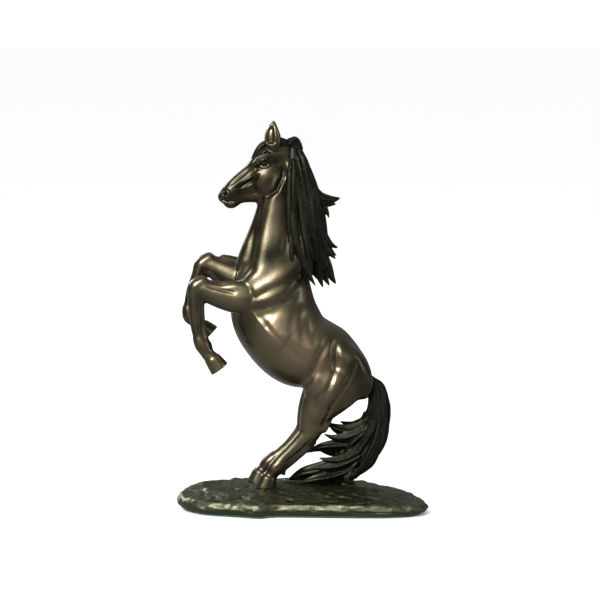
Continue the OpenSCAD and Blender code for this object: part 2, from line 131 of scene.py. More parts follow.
def store(piece: Piece, name: str, values: np.ndarray) -> None:
    """Keep a number or a vector for each of the piece's points under a name."""
    kind, key = ("FLOAT_VECTOR", "vector") if values.ndim == 2 else ("FLOAT", "value")
    layer = piece.data.attributes.new(name, kind, "POINT")
    layer.data.foreach_set(key, values.ravel())


def points_of(piece: Piece) -> np.ndarray:
    """The piece's vertices in millimetres, one row each."""
    flat = np.empty(len(piece.data.vertices) * 3)
    piece.data.vertices.foreach_get("co", flat)
    return flat.reshape(-1, 3) / MM


def set_points(piece: Piece, points: np.ndarray) -> None:
    """Put the piece's vertices at these places, given in millimetres."""
    piece.data.vertices.foreach_set("co", (points * MM).ravel())
    piece.data.update()


def normals_of(piece: Piece) -> np.ndarray:
    """The piece's vertex normals, one row each."""
    flat = np.empty(len(piece.data.vertices) * 3)
    piece.data.vertex_normals.foreach_get("vector", flat)
    return flat.reshape(-1, 3)


def edges_of(piece: Piece) -> np.ndarray:
    """The piece's edges as pairs of vertex numbers."""
    flat = np.empty(len(piece.data.edges) * 2, np.int32)
    piece.data.edges.foreach_get("vertices", flat)
    return flat.reshape(-1, 2)


class Spine:
    """A smooth line through the stations of a form, with the form's depth and width along it."""

    def __init__(self, rows: Rows, steps: int = 10) -> None:
        """Lay the line.

        Args:
            rows: Stations as x, y, z, half depth in the side view, and half width across.
            steps: How many points to lay between two stations.
        """
        given = np.array(rows, float)
        last = len(given) - 1
        laid = []
        for i in range(last):
            a, b, c, d = given[max(i - 1, 0)], given[i], given[i + 1], given[min(i + 2, last)]
            for k in range(steps):
                t = k / steps
                laid.append(
                    0.5 * (2 * b + (c - a) * t + (2 * a - 5 * b + 4 * c - d) * t * t
                           + (3 * b - a - 3 * c + d) * t**3))
        laid.append(given[last])
        self.line = np.array(laid)
        self.line[:, 3:] = np.maximum(self.line[:, 3:], LEAST_GIRTH)
        run = np.linalg.norm(np.diff(self.line[:, :3], axis=0), axis=1)
        self.along = np.concatenate([[0.0], np.cumsum(run)])
        self.length = float(self.along[-1])
        heading = np.gradient(self.line[:, :3], axis=0)
        self.heading = heading / np.linalg.norm(heading, axis=1, keepdims=True)
        over = np.cross(self.heading, [0.0, 1.0, 0.0])
        size = np.linalg.norm(over, axis=1, keepdims=True)
        over = np.where(size > 0.15, over / np.maximum(size, 1e-6), [1.0, 0.0, 0.0])
        across = np.cross(over, self.heading)
        self.across = across / np.linalg.norm(across, axis=1, keepdims=True)
        self.over = np.cross(self.heading, self.across)

    def at(self, s: np.ndarray, table: np.ndarray) -> np.ndarray:
        """Read a table of the line's values at distances s along it."""
        columns = [np.interp(s, self.along, table[:, i]) for i in range(table.shape[1])]
        return np.stack(columns, axis=1)

    def skin(
        self, latitude: np.ndarray, turn: np.ndarray, lobes: int = 0, depth: float = 0.0
    ) -> np.ndarray:
        """Points on the form's skin.

        Args:
            latitude: How far along the form each point is, 0 at its first tip and 1 at its last.
            turn: Angle of each point round the line.
            lobes: How many strands run along the skin.
            depth: How deep the grooves between the strands are, as a share of the radius.

        Returns:
            The points, one row each.
        """
        first, last = (0.9 * min(self.line[end, 3], self.line[end, 4]) for end in (0, -1))
        s = latitude * (self.length + first + last) - first
        held = np.clip(s, 0.0, self.length)
        past = np.where(s > self.length, (s - self.length) / last, 0.0)
        beyond = np.where(s < 0, -s / first, past)
        round_off = np.sqrt(np.clip(1 - beyond**2, 0.0, 1.0))
        rows = self.at(held, self.line)
        heading = self.at(held, self.heading)
        over, across = self.at(held, self.over), self.at(held, self.across)
        centre = rows[:, :3] + heading * (s - held)[:, None]
        swell = round_off * (1 + depth * np.cos(lobes * turn + 0.05 * s))
        return (centre + over * (rows[:, 3] * np.cos(turn) * swell)[:, None]
                + across * (rows[:, 4] * np.sin(turn) * swell)[:, None])

    def wrap(self, points: np.ndarray) -> tuple[np.ndarray, np.ndarray]:
        """Where points lie about the line.

        Args:
            points: Points in millimetres, one row each.

        Returns:
            The distance along the line and the angle round it, one number for each point.
        """
        nearest = np.empty(len(points), np.int32)
        for start in range(0, len(points), BLOCK):
            block = points[start : start + BLOCK]
            gap = ((block[:, None, :] - self.line[None, :, :3]) ** 2).sum(axis=2)
            nearest[start : start + BLOCK] = gap.argmin(axis=1)
        away = points - self.line[nearest, :3]
        out = (away * self.over[nearest]).sum(axis=1)
        turn = np.arctan2((away * self.across[nearest]).sum(axis=1), out)
        return self.along[nearest], turn


def mass(
    rows: Rows, sides: int = 28, rings: int = 24, lobes: int = 0, depth: float = 0.0
) -> Piece:
    """Draw a ball of wax out along a line.

    Args:
        rows: The line's stations.
        sides: How many points the ball has round it.
        rings: How many rings it has from tip to tip.
        lobes: How many strands run along it.
        depth: How deep the grooves between them are, as a share of the radius.

    Returns:
        The drawn-out form.
    """
    put_down_tools()
    bpy.ops.mesh.primitive_uv_sphere_add(segments=sides, ring_count=rings, radius=1.0)
    piece = bpy.context.object
    ball = points_of(piece) * MM
    latitude = np.arccos(np.clip(ball[:, 2], -1, 1)) / math.pi
    turn = np.arctan2(ball[:, 1], ball[:, 0])
    set_points(piece, Spine(rows).skin(latitude, turn, lobes, depth))
    return piece


def mirrored(rows: Rows, side: Side) -> list[Row]:
    """The same stations on one side of the horse, from rows written with Y away from the middle."""
    return [(x, y * side.value, z, deep, wide) for x, y, z, deep, wide in rows]


def thinned(rows: Rows, share: float, inward: float = 1.0) -> list[Row]:
    """The same stations with a share of their girth, and drawn in towards the middle."""
    return [(x, y * inward, z, deep * share, wide * share) for x, y, z, deep, wide in rows]


def pairs(forms: Sequence[Rows], sides: int, rings: int) -> list[Piece]:
    """Make each form on both sides of the horse."""
    return [mass(mirrored(rows, side), sides, rings) for rows in forms for side in Side]


def gather(pieces: Sequence[Piece], name: str) -> Piece:
    """Join pieces into one object with a new name."""
    put_down_tools()
    for piece in pieces:
        piece.select_set(True)
    bpy.context.view_layer.objects.active = pieces[0]
    if len(pieces) > 1:
        bpy.ops.object.join()
    rename(bpy.context.object, name)
    return bpy.context.object


def model_together(piece: Piece, grain: float) -> None:
    """Work overlapping forms into one skin.

    Args:
        piece: The joined forms.
        grain: Size of the new skin's facets, in millimetres.
    """
    pick_up(piece)
    worked = piece.modifiers.new("one_skin", "REMESH")
    worked.mode = "VOXEL"
    worked.voxel_size = grain * MM
    worked.use_smooth_shade = True
    bpy.ops.object.modifier_apply(modifier=worked.name)


def clear_crumbs(piece: Piece) -> None:
    """Clear away what does not hang together with the piece's highest point."""
    select_linked_to(piece, int(points_of(piece)[:, 2].argmax()))
    bpy.ops.mesh.select_all(action="INVERT")
    bpy.ops.mesh.delete(type="VERT")
    put_down_tools()


def neighbour_mean(edges: np.ndarray, values: np.ndarray) -> np.ndarray:
    """The mean of each vertex's neighbours, for values with one row a vertex."""
    count = len(values)
    both = np.concatenate([edges[:, 0], edges[:, 1]])
    other = np.concatenate([edges[:, 1], edges[:, 0]])
    degree = np.maximum(np.bincount(both, minlength=count), 1)
    sums = [np.bincount(both, weights=column[other], minlength=count) for column in values.T]
    return np.stack(sums, axis=1) / degree[:, None]


def smooth_over(
    piece: Piece, rounds: int, keep: bool = False,
    where: Callable[[np.ndarray], np.ndarray] | None = None,
) -> None:
    """Rub the wax smooth.

    Args:
        piece: The piece to smooth.
        rounds: How many passes to make.
        keep: Whether every pass is followed by one that puts the lost thickness back.
        where: Gives how much of the smoothing each point takes, from 0 to 1.
    """
    edges, points = edges_of(piece), points_of(piece)
    share = np.ones(len(points)) if where is None else where(points)
    for _ in range(rounds):
        points = points + RUB * share[:, None] * (neighbour_mean(edges, points) - points)
        if keep:
            points = points - PUT_BACK * share[:, None] * (neighbour_mean(edges, points) - points)
    set_points(piece, points)


def smooth_step(low: float, high: float, value: np.ndarray) -> np.ndarray:
    """Rise smoothly from 0 at low to 1 at high."""
    t = np.clip((value - low) / (high - low), 0.0, 1.0)
    return t * t * (3 - 2 * t)


@dataclass(frozen=True)
class Stroke:
    """One stroke of a modelling tool, drawn in the side view. It cuts where its depth is negative.

    Attributes:
        path: Points of the stroke as x and z.
        width: How wide it is.
        depth: How far it moves the skin out.
        inner: The distance from the horse's middle from which it takes hold.
        side: The only side it is made on, or None for both.
    """

    path: tuple[Point2, ...]
    width: float
    depth: float
    inner: float = 2.0
    side: Side | None = None

    def press(self, points: np.ndarray, normals: np.ndarray) -> np.ndarray:
        """How far out the stroke moves each point."""
        way = np.array(self.path, float)
        low, high = way.min(axis=0) - 3 * self.width, way.max(axis=0) + 3 * self.width
        flat = points[:, [0, 2]]
        near = ((flat > low) & (flat < high)).all(axis=1)
        if self.side is not None:
            near &= points[:, 1] * self.side.value > 0
        moved = np.zeros(len(points))
        if not near.any():
            return moved
        flat, best = flat[near], np.full(near.sum(), 1e9)
        share = np.zeros(near.sum())
        run = np.concatenate([[0.0], np.cumsum(np.linalg.norm(np.diff(way, axis=0), axis=1))])
        for i in range(len(way) - 1):
            leg = way[i + 1] - way[i]
            t = np.clip(((flat - way[i]) @ leg) / (leg @ leg), 0.0, 1.0)
            gap = np.linalg.norm(flat - (way[i] + t[:, None] * leg), axis=1)
            closer = gap < best
            best = np.where(closer, gap, best)
            share = np.where(closer, (run[i] + t * (run[i + 1] - run[i])) / run[-1], share)
        ends = 0.35 + 0.65 * np.sin(math.pi * np.clip(share, 0.0, 1.0)) ** 0.6
        facing = smooth_step(0.08, 0.5, np.abs(normals[near, 1]))
        hold = smooth_step(self.inner - 1.0, self.inner + 1.0, np.abs(points[near, 1]))
        moved[near] = self.depth * np.exp(-((best / self.width) ** 2)) * ends * facing * hold
        return moved


def work_strokes(piece: Piece, strokes: Sequence[Stroke]) -> None:
    """Make a set of strokes on a piece, each along the skin's own normals."""
    points, normals = points_of(piece), normals_of(piece)
    out = np.zeros(len(points))
    for stroke in strokes:
        out += stroke.press(points, normals)
    set_points(piece, points + normals * out[:, None])


def mark_relief(piece: Piece, fine: float, broad: float) -> None:
    """Record how far each point stands out of its surroundings, for the patina.

    Args:
        piece: The piece to mark.
        fine: How strongly small ridges and grooves count.
        broad: How strongly large ones count.
    """
    edges, points, normals = edges_of(piece), points_of(piece), normals_of(piece)
    soft, relief = points, np.zeros(len(points))
    for rounds, share in ((4, fine), (26, broad)):
        for _ in range(rounds):
            soft = soft + RUB * (neighbour_mean(edges, soft) - soft)
        relief += share * ((points - soft) * normals).sum(axis=1)
    for _ in range(2):
        relief = relief + 0.5 * (neighbour_mean(edges, relief[:, None])[:, 0] - relief)
    store(piece, "relief", np.clip(0.5 + relief, 0.0, 1.0))


def mark_flow(piece: Piece, spine: Spine) -> None:
    """Record where each point lies about the hair's line, so that a pattern can follow it."""
    along, turn = spine.wrap(points_of(piece))
    store(piece, "flow", np.stack([np.cos(turn), np.sin(turn), along / 60.0], axis=1))


def shade(piece: Piece, angle: float = 50.0) -> None:
    """Shade a piece smooth except across edges sharper than an angle in degrees."""
    pick_up(piece)
    bpy.ops.object.shade_smooth_by_angle(angle=math.radians(angle))


def part_off(whole: Piece, place: Place, facing: Place, reach: float, name: str) -> Piece:
    """Saw a section off the horse and close both sawn faces.

    Args:
        whole: The piece to saw.
        place: A point on the cut.
        facing: The direction from the whole towards the section.
        reach: How far from the point the saw works, so that it meets only this limb.
        name: The section's name.

    Returns:
        The section.
    """
    centres = np.empty(len(whole.data.polygons) * 3)
    whole.data.polygons.foreach_get("center", centres)
    away = centres.reshape(-1, 3) / MM - np.array(place)
    taken = np.linalg.norm(away, axis=1) < reach
    if place[1]:
        taken &= (away[:, 1] + place[1]) * place[1] > 0
    open_mesh(whole, "DESELECT")
    bpy.ops.mesh.select_mode(type="FACE")
    bpy.ops.object.mode_set(mode="OBJECT")
    whole.data.polygons.foreach_set("select", taken)
    bpy.ops.object.mode_set(mode="EDIT")
    bpy.ops.mesh.select_mode(type="EDGE")
    bpy.ops.mesh.bisect(plane_co=[v * MM for v in place], plane_no=facing)
    bpy.ops.mesh.edge_split(type="EDGE")
    put_down_tools()
    way = np.array(facing) / np.linalg.norm(facing)
    ahead = points_of(whole) - (np.array(place) + way * 3.0)
    behind = 100.0 * (ahead @ way < 0)
    select_linked_to(whole, int((np.linalg.norm(ahead, axis=1) + behind).argmin()))
    bpy.ops.mesh.separate(type="SELECTED")
    put_down_tools()
    section = next(o for o in bpy.data.objects if o.name.startswith(whole.name + "."))
    for piece in (whole, section):
        open_mesh(piece, "DESELECT")
        bpy.ops.mesh.select_non_manifold(extend=False)
        bpy.ops.mesh.fill_holes(sides=0)
        put_down_tools()
    rename(section, name)
    return section


def trim(piece: Piece, place: Place, facing: Place) -> None:
    """Saw off what lies behind a plane and close the sawn face.

    Args:
        piece: The piece to trim.
        place: A point on the plane.
        facing: The direction of the part that stays.
    """
    open_mesh(piece)
    plane = [v * MM for v in place]
    bpy.ops.mesh.bisect(plane_co=plane, plane_no=facing, clear_inner=True, use_fill=True)
    put_down_tools()


# Finishes


class NodeDesk:
    """Lays out the nodes of one material."""

    def __init__(self, name: str) -> None:
        """Start a material with one Principled shader."""
        self.material = bpy.data.materials.new(name)
        self.material.use_nodes = True
        self.nodes = self.material.node_tree.nodes
        self.links = self.material.node_tree.links
        self.shader = self.nodes["Principled BSDF"]

    def add(self, kind: str, **values: object) -> bpy.types.Node:
        """Add a node and set its properties."""
        node = self.nodes.new(kind)
        for key, value in values.items():
            setattr(node, key, value)
        return node

    def feed(self, into: Socket, value: Socket | Colour | float) -> None:
        """Link a socket into an input, or set the input to a colour or a number."""
        if isinstance(value, Socket):
            self.links.new(value, into)
        else:
            into.default_value = (*value, 1.0) if isinstance(value, tuple) else value

    def give(self, **values: Socket | Colour | float) -> None:
        """Feed the shader's inputs, named with low lines in place of spaces."""
        for name, value in values.items():
            self.feed(self.shader.inputs[name.replace("_", " ")], value)

    def place(self, scale: Sequence[float] = (1, 1, 1)) -> Socket:
        """Object coordinates, stretched by a scale."""
        where = self.add("ShaderNodeTexCoord")
        mapping = self.add("ShaderNodeMapping")
        mapping.inputs["Scale"].default_value = scale
        self.feed(mapping.inputs["Vector"], where.outputs["Object"])
        return mapping.outputs["Vector"]

    def grain(
        self, scale: float, detail: float = 4.0, rough: float = 0.55, vector: Socket | None = None
    ) -> Socket:
        """A noise pattern's value."""
        node = self.add("ShaderNodeTexNoise")
        for name, value in (("Scale", scale), ("Detail", detail), ("Roughness", rough)):
            node.inputs[name].default_value = value
        self.feed(node.inputs["Vector"], vector or self.place())
        return node.outputs["Fac"]

    def attribute(self, name: str, output: str = "Fac") -> Socket:
        """A value that is stored on the piece."""
        return self.add("ShaderNodeAttribute", attribute_name=name).outputs[output]

    def ramp(self, value: Socket, stops: Sequence[tuple[float, Colour]]) -> Socket:
        """Turn a value into a colour between two stops."""
        node = self.add("ShaderNodeValToRGB")
        for slot, (at, colour) in zip(node.color_ramp.elements, stops):
            slot.position = at
            slot.color = (*colour, 1.0)
        self.feed(node.inputs["Fac"], value)
        return node.outputs["Color"]

    def mix(self, share: Socket | float, a: Socket | Colour, b: Socket | Colour) -> Socket:
        """Mix two colours."""
        node = self.add("ShaderNodeMix", data_type="RGBA")
        for index, value in ((0, share), (6, a), (7, b)):
            self.feed(node.inputs[index], value)
        return node.outputs[2]

    def sum(self, a: Socket, b: Socket, how: str = "ADD") -> Socket:
        """Combine two values."""
        node = self.add("ShaderNodeMath", operation=how)
        self.feed(node.inputs[0], a)
        self.feed(node.inputs[1], b)
        return node.outputs[0]

    def spread(
        self, value: Socket, low: float, high: float, to_low: float, to_high: float
    ) -> Socket:
        """Stretch a value from one range to another."""
        node = self.add("ShaderNodeMapRange")
        for index, number in enumerate((value, low, high, to_low, to_high)):
            self.feed(node.inputs[index], number)
        return node.outputs[0]

    def bump(self, height: Socket, depth: float, over: Socket | None = None) -> Socket:
        """Turn a height into a normal, with its depth in millimetres."""
        node = self.add("ShaderNodeBump")
        node.inputs["Strength"].default_value = 1.0
        node.inputs["Distance"].default_value = depth * MM
        self.feed(node.inputs["Height"], height)
        if over is not None:
            self.feed(node.inputs["Normal"], over)
        return node.outputs["Normal"]


@dataclass(frozen=True)
class PatinaBronze:
    """Lacquered bronze, dark in its hollows and rubbed warm on its high points.

    Attributes:
        name: The material's name.
        hollow: Colour of the patina in the hollows.
        field: Colour over most of the skin.
        cloud: A second colour that drifts over it.
        rubbed: Colour where the patina is rubbed thin.
        rough: Roughness of the field.
        lacquer: Weight of the clear lacquer.
        chasing: Depth of the fine tool marks, in millimetres.
        hair: Whether the tool marks follow the hair.
        worked: Whether the piece has its high and low points recorded.
        rock: Whether the skin has the grain of cast rock.
    """

    name: str
    hollow: Colour = (0.010, 0.010, 0.006)
    field: Colour = (0.125, 0.096, 0.051)
    cloud: Colour = (0.098, 0.092, 0.038)
    rubbed: Colour = (0.36, 0.235, 0.14)
    rough: float = 0.34
    lacquer: float = 1.0
    chasing: float = 0.05
    hair: bool = False
    worked: bool = True
    rock: bool = False

    def material(self) -> bpy.types.Material:
        """Lay out the material."""
        desk = NodeDesk(self.name)
        desk.give(Base_Color=self.skin(desk), Metallic=1.0)
        relief = self.relief(desk)
        haze = desk.spread(desk.grain(150.0), 0.3, 0.7, self.rough - 0.05, self.rough + 0.07)
        dull = desk.spread(relief, 0.48, 0.15, 0.0, 0.25)
        desk.give(Roughness=desk.sum(haze, dull))
        # The dark patina and painted shade also thin the lacquer there, dimming its highlights.
        dark = desk.attribute("darkness")
        desk.give(
            Coat_Weight=desk.spread(dark, 0.0, 1.0, self.lacquer, 0.2 * self.lacquer),
            Coat_Roughness=0.22, Coat_IOR=1.5, Normal=self.tool_marks(desk))
        return desk.material

    def relief(self, desk: NodeDesk) -> Socket:
        """How far the skin stands out, from 0 in the hollows to 1 on the ridges."""
        if self.worked:
            return desk.attribute("relief")
        return desk.spread(desk.grain(60.0), 0.3, 0.7, 0.48, 0.56)

    def skin(self, desk: NodeDesk) -> Socket:
        """The colour: drifting field, warm places that are partly painted highlight, rubbed places,
        then the dark places that are partly painted shade, and the hollows.
        """
        drift = desk.spread(desk.grain(42.0, 3.0), 0.36, 0.64, 0.0, 1.0)
        skin = desk.mix(drift, self.field, self.cloud)
        # Warmer, lighter patina, partly painted highlight where the lamps' highlights fall.
        warm = desk.spread(desk.attribute("warmth"), 0.0, 1.0, 0.0, 0.9)
        blotch = desk.spread(desk.grain(95.0, 4.0, 0.6), 0.45, 0.75, 0.0, 0.3)
        half_way = tuple(0.48 * f + 0.52 * r for f, r in zip(self.field, self.rubbed))
        skin = desk.mix(desk.sum(warm, blotch, "MAXIMUM"), skin, half_way)
        specks = desk.spread(desk.grain(240.0, 5.0, 0.62), 0.3, 0.7, -0.08, 0.08)
        broken = desk.sum(self.relief(desk), specks)
        skin = desk.mix(desk.spread(broken, 0.64, 1.0, 0.0, 0.8), skin, self.rubbed)
        # Darker patina, partly painted shade laid where shade falls and over highlights to dim
        # them.
        uneven = desk.spread(desk.grain(70.0), 0.3, 0.7, 0.8, 1.05)
        dark = desk.sum(desk.attribute("darkness"), uneven, "MULTIPLY")
        deep = tuple(0.12 * f + 0.1 * h for f, h in zip(self.field, self.hollow))
        skin = desk.mix(dark, skin, deep)
        return desk.mix(desk.spread(broken, 0.45, 0.12, 0.0, 1.0), skin, self.hollow)

    def tool_marks(self, desk: NodeDesk) -> Socket:
        """The fine marks of the chasing, along the hair or over the rock where there is one."""
        normal = desk.bump(desk.grain(520.0, 3.0), self.chasing)
        if self.hair:
            scaled = desk.add("ShaderNodeMapping")
            desk.feed(scaled.inputs["Vector"], desk.attribute("flow", "Vector"))
            strands = desk.grain(9.0, 5.0, 0.6, scaled.outputs["Vector"])
            normal = desk.bump(strands, 0.9, normal)
        else:
            normal = desk.bump(desk.grain(160.0, 2.0), self.chasing * 2.4, normal)
        if self.rock:
            normal = desk.bump(desk.grain(330.0, 6.0, 0.7), 0.5, normal)
        return normal


@dataclass(frozen=True)
class PlainMetal:
    """Drawn brass or plated steel, for fittings that are hidden in use."""

    name: str
    colour: Colour
    dark: Colour
    rough: float

    def material(self) -> bpy.types.Material:
        """Lay out the material."""
        desk = NodeDesk(self.name)
        lines = desk.grain(900.0, 2.0, 0.5, desk.place((1, 1, 0.08)))
        tarnish = desk.spread(desk.grain(260.0), 0.4, 0.7, 0.0, 0.6)
        desk.give(
            Base_Color=desk.mix(tarnish, self.colour, self.dark), Metallic=1.0,
            Roughness=desk.spread(lines, 0.3, 0.7, self.rough - 0.06, self.rough + 0.1),
            Normal=desk.bump(lines, 0.03))
        return desk.material


@dataclass(frozen=True)
class WoolFelt:
    """Dark green felt, matted and a little fuzzy."""

    name: str = "felt"
    deep: Colour = (0.006, 0.026, 0.013)
    high: Colour = (0.02, 0.075, 0.04)

    def material(self) -> bpy.types.Material:
        """Lay out the material."""
        desk = NodeDesk(self.name)
        fuzz = desk.grain(1500.0, 6.0, 0.7)
        desk.give(
            Base_Color=desk.ramp(fuzz, [(0.3, self.deep), (0.7, self.high)]), Roughness=0.95,
            Sheen_Weight=0.5, Sheen_Roughness=0.5, Normal=desk.bump(fuzz, 0.3))
        return desk.material


@dataclass(frozen=True)
class Hardboard:
    """Pressed brown board with short fibres."""

    name: str = "board"
    light: Colour = (0.30, 0.19, 0.10)
    dark: Colour = (0.15, 0.09, 0.045)

    def material(self) -> bpy.types.Material:
        """Lay out the material."""
        desk = NodeDesk(self.name)
        fibre = desk.grain(700.0, 6.0, 0.7, desk.place((1, 0.3, 1)))
        desk.give(
            Base_Color=desk.ramp(fibre, [(0.3, self.dark), (0.65, self.light)]), Roughness=0.75,
            Normal=desk.bump(fibre, 0.12))
        return desk.material


def dress(piece: Piece, material: bpy.types.Material) -> None:
    """Give a piece one material all over."""
    piece.data.materials.clear()
    piece.data.materials.append(material)


# The horse


@dataclass(frozen=True)
class Hoof:
    """A hoof from its coronet to its sole.

    Attributes:
        coronet: Middle of the coronet.
        sole: Middle of the sole.
        faces: Direction that the sole faces.
        top: Half depth and half width at the coronet.
        foot: Half depth and half width at the sole.
        lap: How far the hoof reaches up into the leg.
        worn: Width of its worn edges.
    """

    coronet: Place
    sole: Place
    faces: Place
    top: Point2 = (5.0, 5.0)
    foot: Point2 = (6.5, 6.1)
    lap: float = 0.6
    worn: float = 0.7

    def build(self, side: Side) -> Piece:
        """Make the hoof on one side of the horse, from a cylinder with a bevelled sole."""
        put_down_tools()
        bpy.ops.mesh.primitive_cylinder_add(vertices=36, radius=1.0, depth=2.0)
        piece = bpy.context.object
        shape = points_of(piece) * MM
        turn = np.arctan2(shape[:, 1], shape[:, 0])
        upper = shape[:, 2] > 0
        top, foot = np.array(self.coronet), np.array(self.sole)
        down = np.array(self.faces) / np.linalg.norm(self.faces)
        axis = (foot - top) / np.linalg.norm(foot - top)
        ends = []
        for centre, way, size in ((top - axis * self.lap, axis, self.top), (foot, down, self.foot)):
            over = np.cross(way, [0.0, 1.0, 0.0])
            over /= np.linalg.norm(over)
            across = np.cross(over, way)
            ends.append(centre + np.outer(np.cos(turn) * size[0], over)
                        + np.outer(np.sin(turn) * size[1], across))
        set_points(piece, np.where(upper[:, None], ends[0], ends[1]))
        pick_up(piece)
        edge = piece.modifiers.new("worn_edge", "BEVEL")
        edge.width = self.worn * MM
        edge.segments = 2
        bpy.ops.object.modifier_apply(modifier=edge.name)
        set_points(piece, points_of(piece) * [1.0, side.value, 1.0])
        if side is Side.LEFT:
            open_mesh(piece)
            bpy.ops.mesh.normals_make_consistent(inside=False)
            put_down_tools()
        return piece


@dataclass(frozen=True)
class Limb:
    """One leg: its forms in order, and its hoof."""

    forms: tuple[Rows, ...]
    hoof: Hoof

    def build(self, side: Side) -> list[Piece]:
        """Make the leg's forms on one side of the horse."""
        return [mass(mirrored(rows, side), 24, 22) for rows in self.forms]


LEFT_FORE = Limb(
    (
        ((-26, 8, 162, 14, 8), (-37, 12.5, 159, 13, 9), (-46, 14, 159.6, 12, 8.8),
         (-56, 14.4, 161.4, 11, 7.8), (-66, 14.8, 164, 9.4, 6.8), (-73, 15, 166.6, 8, 6.2),
         (-78.6, 15, 167.4, 6.6, 5.8)),
        ((-42, 16, 166, 6.4, 5.2), (-52, 16.6, 167.4, 6, 4.6), (-64, 15.8, 169.6, 3.4, 3.2)),
        ((-9, 12, 174, 9, 6), (-17, 15.5, 166, 10.4, 7.4), (-28, 16.6, 158.5, 9.4, 7.4),
         (-37, 15.6, 156, 7, 6.4)),
        ((-74, 15, 172.4, 5.2, 5.4), (-79, 15, 168.6, 6, 6), (-80.2, 15, 162.4, 5.2, 5.3)),
        ((-79.8, 15, 164, 5.8, 5.4), (-80, 15, 157, 5.2, 4.8), (-79.4, 15, 147, 4.9, 4.6),
         (-78, 15, 137, 4.8, 4.6), (-75.6, 14.8, 129, 5, 4.9)),
        ((-75.6, 15, 160, 3, 3), (-75, 15, 148, 2.8, 2.8), (-74.4, 15, 137, 2.9, 3),
         (-72.4, 14.8, 129, 3.2, 3.4)),
        ((-76.6, 14.9, 129.6, 5.2, 5.3), (-74.2, 14.7, 125, 6.1, 6),
         (-72.2, 14.5, 121.4, 5.5, 5.4)),
        ((-70, 14.7, 125.8, 2.9, 3), (-67.6, 14.6, 122.8, 1.4, 1.7)),
        ((-73.2, 14.6, 122.8, 5.5, 5.2), (-70.6, 14.4, 118.6, 5.1, 4.9),
         (-67.8, 14.2, 115.2, 5.5, 5.4))),
    Hoof((-67.2, 14.2, 114.8), (-61.2, 13.8, 106.4), (0.6, 0, -0.8), (6.1, 5.8), (7.6, 6.9)))

RIGHT_FORE = Limb(
    (
        ((-26, 8, 166, 13, 8), (-37, 12.5, 167.4, 12, 8.6), (-46, 14, 170, 11.8, 8.2),
         (-55, 14.5, 174.2, 11.4, 7.4), (-63.5, 15, 178.8, 9.6, 6.6), (-69.4, 15, 182, 7.8, 6),
         (-74.4, 15, 181.4, 6.8, 5.8)),
        ((-41, 16, 178, 5.6, 4.8), (-50, 16.5, 183.5, 4.8, 4.2), (-60, 15.8, 187.4, 2.8, 3)),
        ((-9, 12, 175, 9, 6), (-17, 15.5, 168, 10.4, 7.4), (-28, 16.6, 162.5, 9.4, 7.4),
         (-37, 15.2, 163, 7, 6.4)),
        ((-69.6, 15, 187, 5, 5.3), (-75.2, 15, 182.6, 6, 6), (-77.8, 15, 176, 5.2, 5.3)),
        ((-76.6, 15, 178, 5.8, 5.4), (-79.2, 15, 171.5, 5.2, 4.8), (-82.4, 15, 162.5, 5, 4.6),
         (-84, 15, 153.6, 5, 4.7), (-84.8, 15, 148, 5.2, 5)),
        ((-74, 15, 173.5, 2.8, 2.8), (-76.6, 15, 166, 2.6, 2.6), (-79.6, 15, 157, 2.7, 2.8),
         (-82, 15, 148.6, 3, 3.2)),
        ((-85.4, 15, 149, 5.3, 5.3), (-84.4, 15, 143.6, 6.2, 6), (-82, 15, 140.8, 5.5, 5.4)),
        ((-81.4, 15, 146.6, 2.9, 3), (-79.2, 15, 144.4, 1.4, 1.7)),
        ((-84, 15, 142, 5.4, 5.2), (-80.2, 15, 138.6, 5, 4.8), (-76.6, 15, 135.8, 5.5, 5.4))),
    Hoof((-76, 15, 135.4), (-68.8, 15, 129.6), (0.72, 0, -0.69), (6.1, 5.8), (7.6, 6.9)))

LEFT_HIND = Limb(
    (
        ((16, 14, 84, 15.6, 10), (10.6, 13.4, 74, 12.2, 8.6), (7.6, 13, 66, 9.8, 7),
         (6, 13, 60, 8, 6.2)),
        ((25, 13.4, 81, 5, 4.4), (21, 13, 72, 3.2, 3), (18.6, 13, 65.4, 3, 3.2),
         (15.8, 13, 60.6, 3.2, 3.4)),
        ((10, 13, 65, 7.6, 6.6), (6.6, 13, 58.6, 7.6, 6.4), (2.6, 13, 53.6, 6.4, 5.6)),
        ((3.6, 13, 56, 7.2, 5.6), (-2, 13, 50, 6.4, 5), (-7.6, 13, 44.4, 5.9, 4.8),
         (-13.2, 13, 39, 5.7, 4.8), (-17.6, 13, 34.4, 5.8, 5.2)),
        ((8.4, 13, 51.6, 3, 3), (2.6, 13, 45.4, 2.6, 2.8), (-4.2, 13, 39.4, 2.6, 2.8),
         (-12.6, 13, 32.8, 3, 3.2)),
        ((-16, 13, 36, 5.2, 5.2), (-19.6, 13, 31.8, 6, 5.8), (-21.6, 13, 28.8, 5.4, 5.4)),
        ((-15, 13, 29.8, 2.9, 3), (-13.2, 13, 26.6, 1.4, 1.8)),
        ((-20.6, 13, 30.4, 5.1, 5.2), (-22.8, 13, 27.2, 4.8, 5), (-24.6, 13, 24.8, 5.4, 5.4))),
    Hoof((-24.8, 13, 25.0), (-28.0, 13, 16.6), (0, 0, -1), (6.1, 6.0), (8.4, 7.4)))

